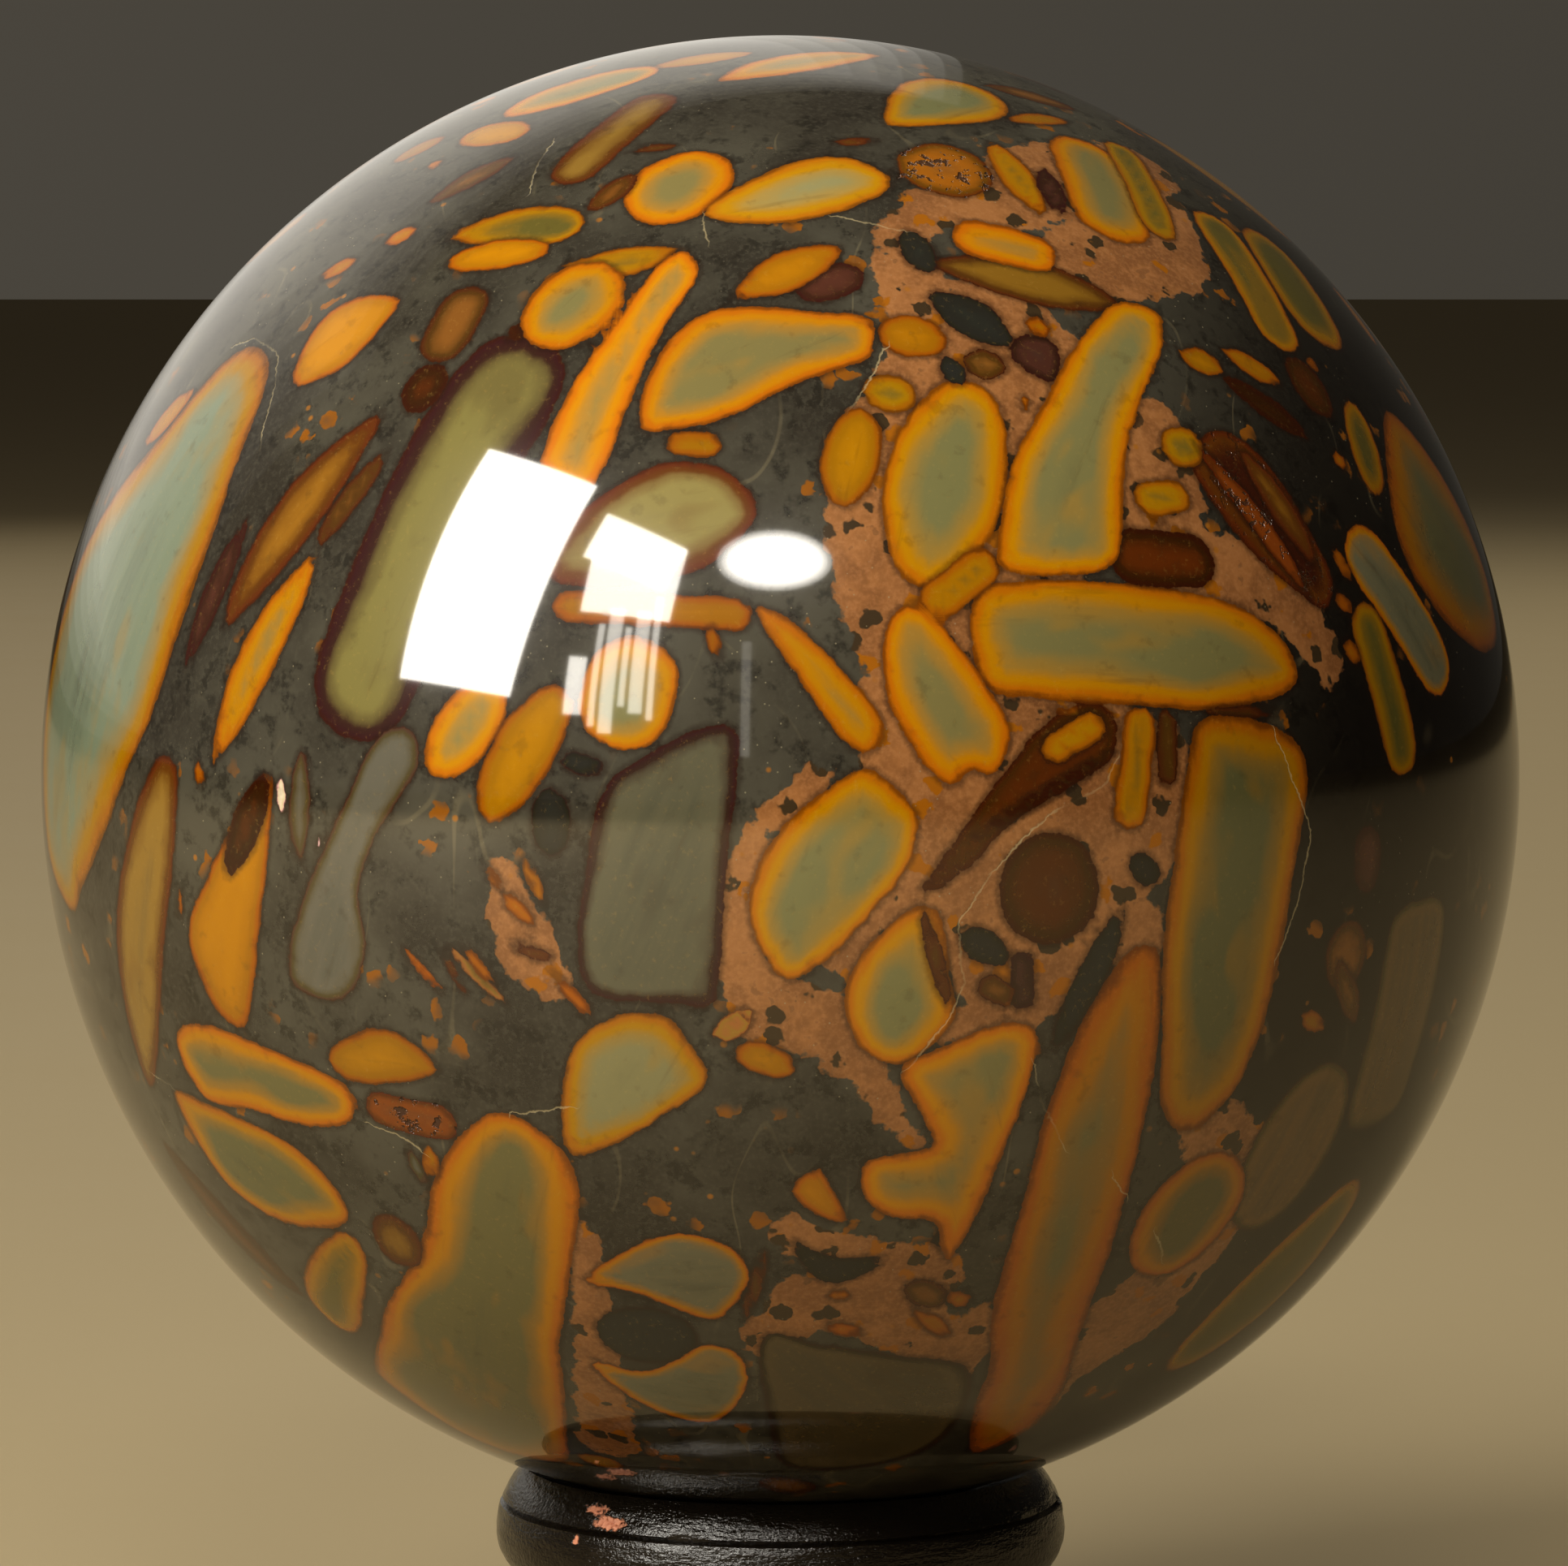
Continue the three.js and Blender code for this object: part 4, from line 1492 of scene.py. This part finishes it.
    def build(self) -> bpy.types.Object:
        """Model and dress the stand.

        Returns:
            The finished piece.
        """
        section = self.section()
        piece = start_piece(
            "lacquered_ring", lambda: bpy.ops.mesh.primitive_circle_add(vertices=len(section)))
        laid = np.stack([section[:, 0], np.zeros(len(section)), section[:, 1]], 1) * MM
        piece.data.vertices.foreach_set("co", laid.ravel())
        bpy.ops.object.mode_set(mode="EDIT")
        bpy.ops.mesh.select_all(action="SELECT")
        bpy.ops.mesh.spin(steps=self.around, angle=2 * math.pi, center=(0, 0, 0), axis=(0, 0, 1))
        bpy.ops.mesh.select_all(action="SELECT")
        bpy.ops.mesh.remove_doubles(threshold=1e-6)
        bpy.ops.mesh.normals_make_consistent(inside=False)
        bpy.ops.object.mode_set(mode="OBJECT")
        self._brush(piece.data)
        bpy.ops.object.shade_smooth_by_angle(angle=math.radians(self.eased))
        hand_over(piece, self.finish.material(), self.node)
        return piece

    def _brush(self, mesh: bpy.types.Mesh) -> None:
        """Lay the lacquer's brush marks, beads and flakes in the surface, where it shows.

        Args:
            mesh: the turned ring.
        """
        places = vertices_of(mesh) / MM
        normals = np.empty(len(mesh.vertices) * 3)
        mesh.vertex_normals.foreach_get("vector", normals)
        normals = normals.reshape(-1, 3)
        turn = np.arctan2(places[:, 0], -places[:, 1])
        radius, height = np.hypot(places[:, 0], places[:, 1]), places[:, 2]
        rng = np.random.default_rng(SEED)
        marks = np.zeros(len(places))
        for _ in range(self.brush_waves):
            waves, rise = rng.integers(2, 24), rng.normal(0, 3.6)
            marks += np.sin(waves * turn + rise * height + rng.uniform(0, 6)) / math.sqrt(self.brush_waves)
        lift = marks * self.brush_depth
        for east, level, spread, rise in self.beads:
            gap = np.hypot(_wrapped(turn - math.radians(east)) * radius, height - level)
            lift += rise * np.exp(-((gap / spread) ** 2))
        edge = np.full(len(places), self.flake_reach)
        for east, level, wide, high in self.flakes:
            across = _wrapped(turn - math.radians(east)) * radius / wide
            gap = (np.hypot(across, (height - level) / high) - 1) * min(wide, high)
            edge = np.minimum(edge, gap)
        lift -= self.flake_depth * np.clip(-edge / 0.2 + 0.5, 0, 1)
        shown = np.clip((radius - self.neck_radius + 1) / 2, 0, 1) * np.clip(height / 1.5, 0, 1)
        shown *= np.clip((self.height - 0.4 - height) / 1.2, 0, 1)
        moved = places + normals * (np.minimum(lift, self.lift_limit) * shown)[:, None]
        mesh.vertices.foreach_set("co", (moved * MM).ravel())
        store(mesh, "flake_edge", edge)
        mesh.update()


def _wrapped(angle: np.ndarray) -> np.ndarray:
    """Bring angles between minus half a turn and half a turn."""
    return (angle + math.pi) % (2 * math.pi) - math.pi


# ---------------------------------------------------------------- studio


@dataclass(frozen=True)
class Lamp:
    """A soft box, placed round the ball as seen from its middle."""

    name: str
    east: float  # degrees from the front
    north: float
    away: float  # m
    wide: float  # m
    high: float  # m
    radiance: float
    roll: float = 0.0  # degrees
    shape: str = "RECTANGLE"
    mirrored: bool = True  # whether polished surfaces show it


@dataclass
class Studio:
    """Floor, lights and camera."""

    centre: Vector
    floor_size: float = 60.0  # m
    floor_panels: int = 8
    camera_north: float = 4.0  # degrees above the ball's middle
    camera_away: float = 0.8  # m
    aim_right: float = 0.0004  # m
    aim_down: float = 0.00088  # m
    focal: float = 168.9  # mm
    sensor: float = 36.0  # mm
    sight: float = 200.0  # m
    daylight: Tone = tone(255, 250, 240)
    room_tone: Tone = tone(214, 204, 186)
    room_left: float = 0.185  # strength of the room's own light from its left side
    room_right: float = 0.025  # and from its right
    contrast: str = "Medium High Contrast"
    lamps: tuple[Lamp, ...] = (
        Lamp("window_left", -50.1, 30.1, 2.0, 0.67, 1.14, 17.0, -2.5),
        Lamp("window_right_top", -25.4, 35.9, 2.0, 0.46, 0.24, 14.0, -18.0),
        Lamp("window_right", -24.7, 31.8, 2.0, 0.465, 0.38, 13.0, -3.0),
        *[Lamp(f"slat_{n}", -19.6 - 2.2 * n, 20.5 - 0.7 * n, 2.1,
               0.035 + 0.04 * (n % 2), 0.66 - 0.12 * (n % 3), 7.0) for n in range(5)],
        Lamp("slat_side", -31.4, 16.0, 2.1, 0.10, 0.30, 11.0),
        Lamp("reveal", -5.2, 15.0, 2.1, 0.05, 0.62, 1.4),
        # a glow and a wall, each of several sheets that differ in size, so that its edge is soft
        *[Lamp(f"lantern_{n}", -1.0, 35.6, 2.0 + 0.01 * n,
               0.33 + 0.05 * n, 0.15 + 0.036 * n, 4.2, shape="ELLIPSE") for n in range(6)],
        *[Lamp(f"wall_left_{n}", -148 - 2.2 * n, 27 - 0.5 * n, 3.2 + 0.01 * n,
               4.6 - 0.42 * n, 3.0 - 0.2 * n, 0.105) for n in range(7)],
        Lamp("overhead", -10.0, 84.0, 2.6, 2.0, 2.0, 1.5, mirrored=False),
        Lamp("fill_behind", 150.0, 30.0, 3.0, 2.0, 2.0, 1.6, mirrored=False),
        Lamp("fill_right", 90.0, 35.0, 3.0, 2.0, 2.0, 0.7, mirrored=False),
    )

    def build(self) -> None:
        """Set up the studio."""
        self._floor()
        for lamp in self.lamps:
            self._light(lamp)
        self._surroundings()
        self._camera()

    def _floor(self) -> None:
        """Lay the floor."""
        floor = start_piece("floor", lambda: bpy.ops.mesh.primitive_grid_add(
            x_subdivisions=self.floor_panels, y_subdivisions=self.floor_panels, size=self.floor_size))
        floor.data.materials.append(PaleFloor().material())

    def _light(self, lamp: Lamp) -> None:
        """Hang one soft box, facing the ball.

        Args:
            lamp: the soft box.
        """
        data = bpy.data.lights.new(lamp.name, "AREA")
        data.shape = lamp.shape
        data.size, data.size_y = lamp.wide, lamp.high
        data.color = self.daylight
        data.energy = lamp.radiance * lamp.wide * lamp.high * math.pi
        light = bpy.data.objects.new(lamp.name, data)
        bpy.context.scene.collection.objects.link(light)
        away = Vector(outward((lamp.east, lamp.north)))
        light.location = self.centre + away * lamp.away
        turn = away.to_track_quat("Z", "Y") @ Quaternion((0, 0, 1), math.radians(lamp.roll))
        light.rotation_euler = turn.to_euler()
        light.visible_camera = False
        light.visible_glossy = lamp.mirrored

    def _surroundings(self) -> None:
        """Fill the room with a soft light that falls off towards the right."""
        world = bpy.data.worlds.new("studio")
        bpy.context.scene.world = world
        world.use_nodes = True
        nodes, links = world.node_tree.nodes, world.node_tree.links
        coordinate = nodes.new("ShaderNodeTexCoord")
        split = nodes.new("ShaderNodeSeparateXYZ")
        fall = nodes.new("ShaderNodeMapRange")
        links.new(coordinate.outputs["Generated"], split.inputs[0])
        links.new(split.outputs["X"], fall.inputs["Value"])
        ends = {"From Min": -1.0, "From Max": 1.0, "To Min": self.room_left, "To Max": self.room_right}
        for name, number in ends.items():
            fall.inputs[name].default_value = number
        background = nodes["Background"]
        background.inputs["Color"].default_value = (*self.room_tone, 1.0)
        links.new(fall.outputs[0], background.inputs["Strength"])

    def _camera(self) -> None:
        """Place the camera in front, a little above the ball's middle."""
        camera = bpy.data.objects.new("camera", bpy.data.cameras.new("camera"))
        bpy.context.scene.collection.objects.link(camera)
        away = Vector(outward((0, self.camera_north)))
        right = Vector((1, 0, 0))
        aim = self.centre + right * self.aim_right - away.cross(right) * self.aim_down
        camera.location = self.centre + away * self.camera_away
        camera.rotation_euler = (camera.location - aim).to_track_quat("Z", "Y").to_euler()
        camera.data.sensor_width = self.sensor
        camera.data.lens = self.focal
        camera.data.clip_end = self.sight
        bpy.context.scene.camera = camera
        bpy.context.scene.view_settings.view_transform = "Standard"
        bpy.context.scene.view_settings.look = self.contrast


def main() -> None:
    """Build the ball, the stand and the studio."""
    logging.basicConfig(level=logging.INFO, format="%(message)s")
    ball = StoneBall()
    ball.build()
    RingStand().build()
    Studio(Vector(ball.centre)).build()


if __name__ == "__main__":
    main()
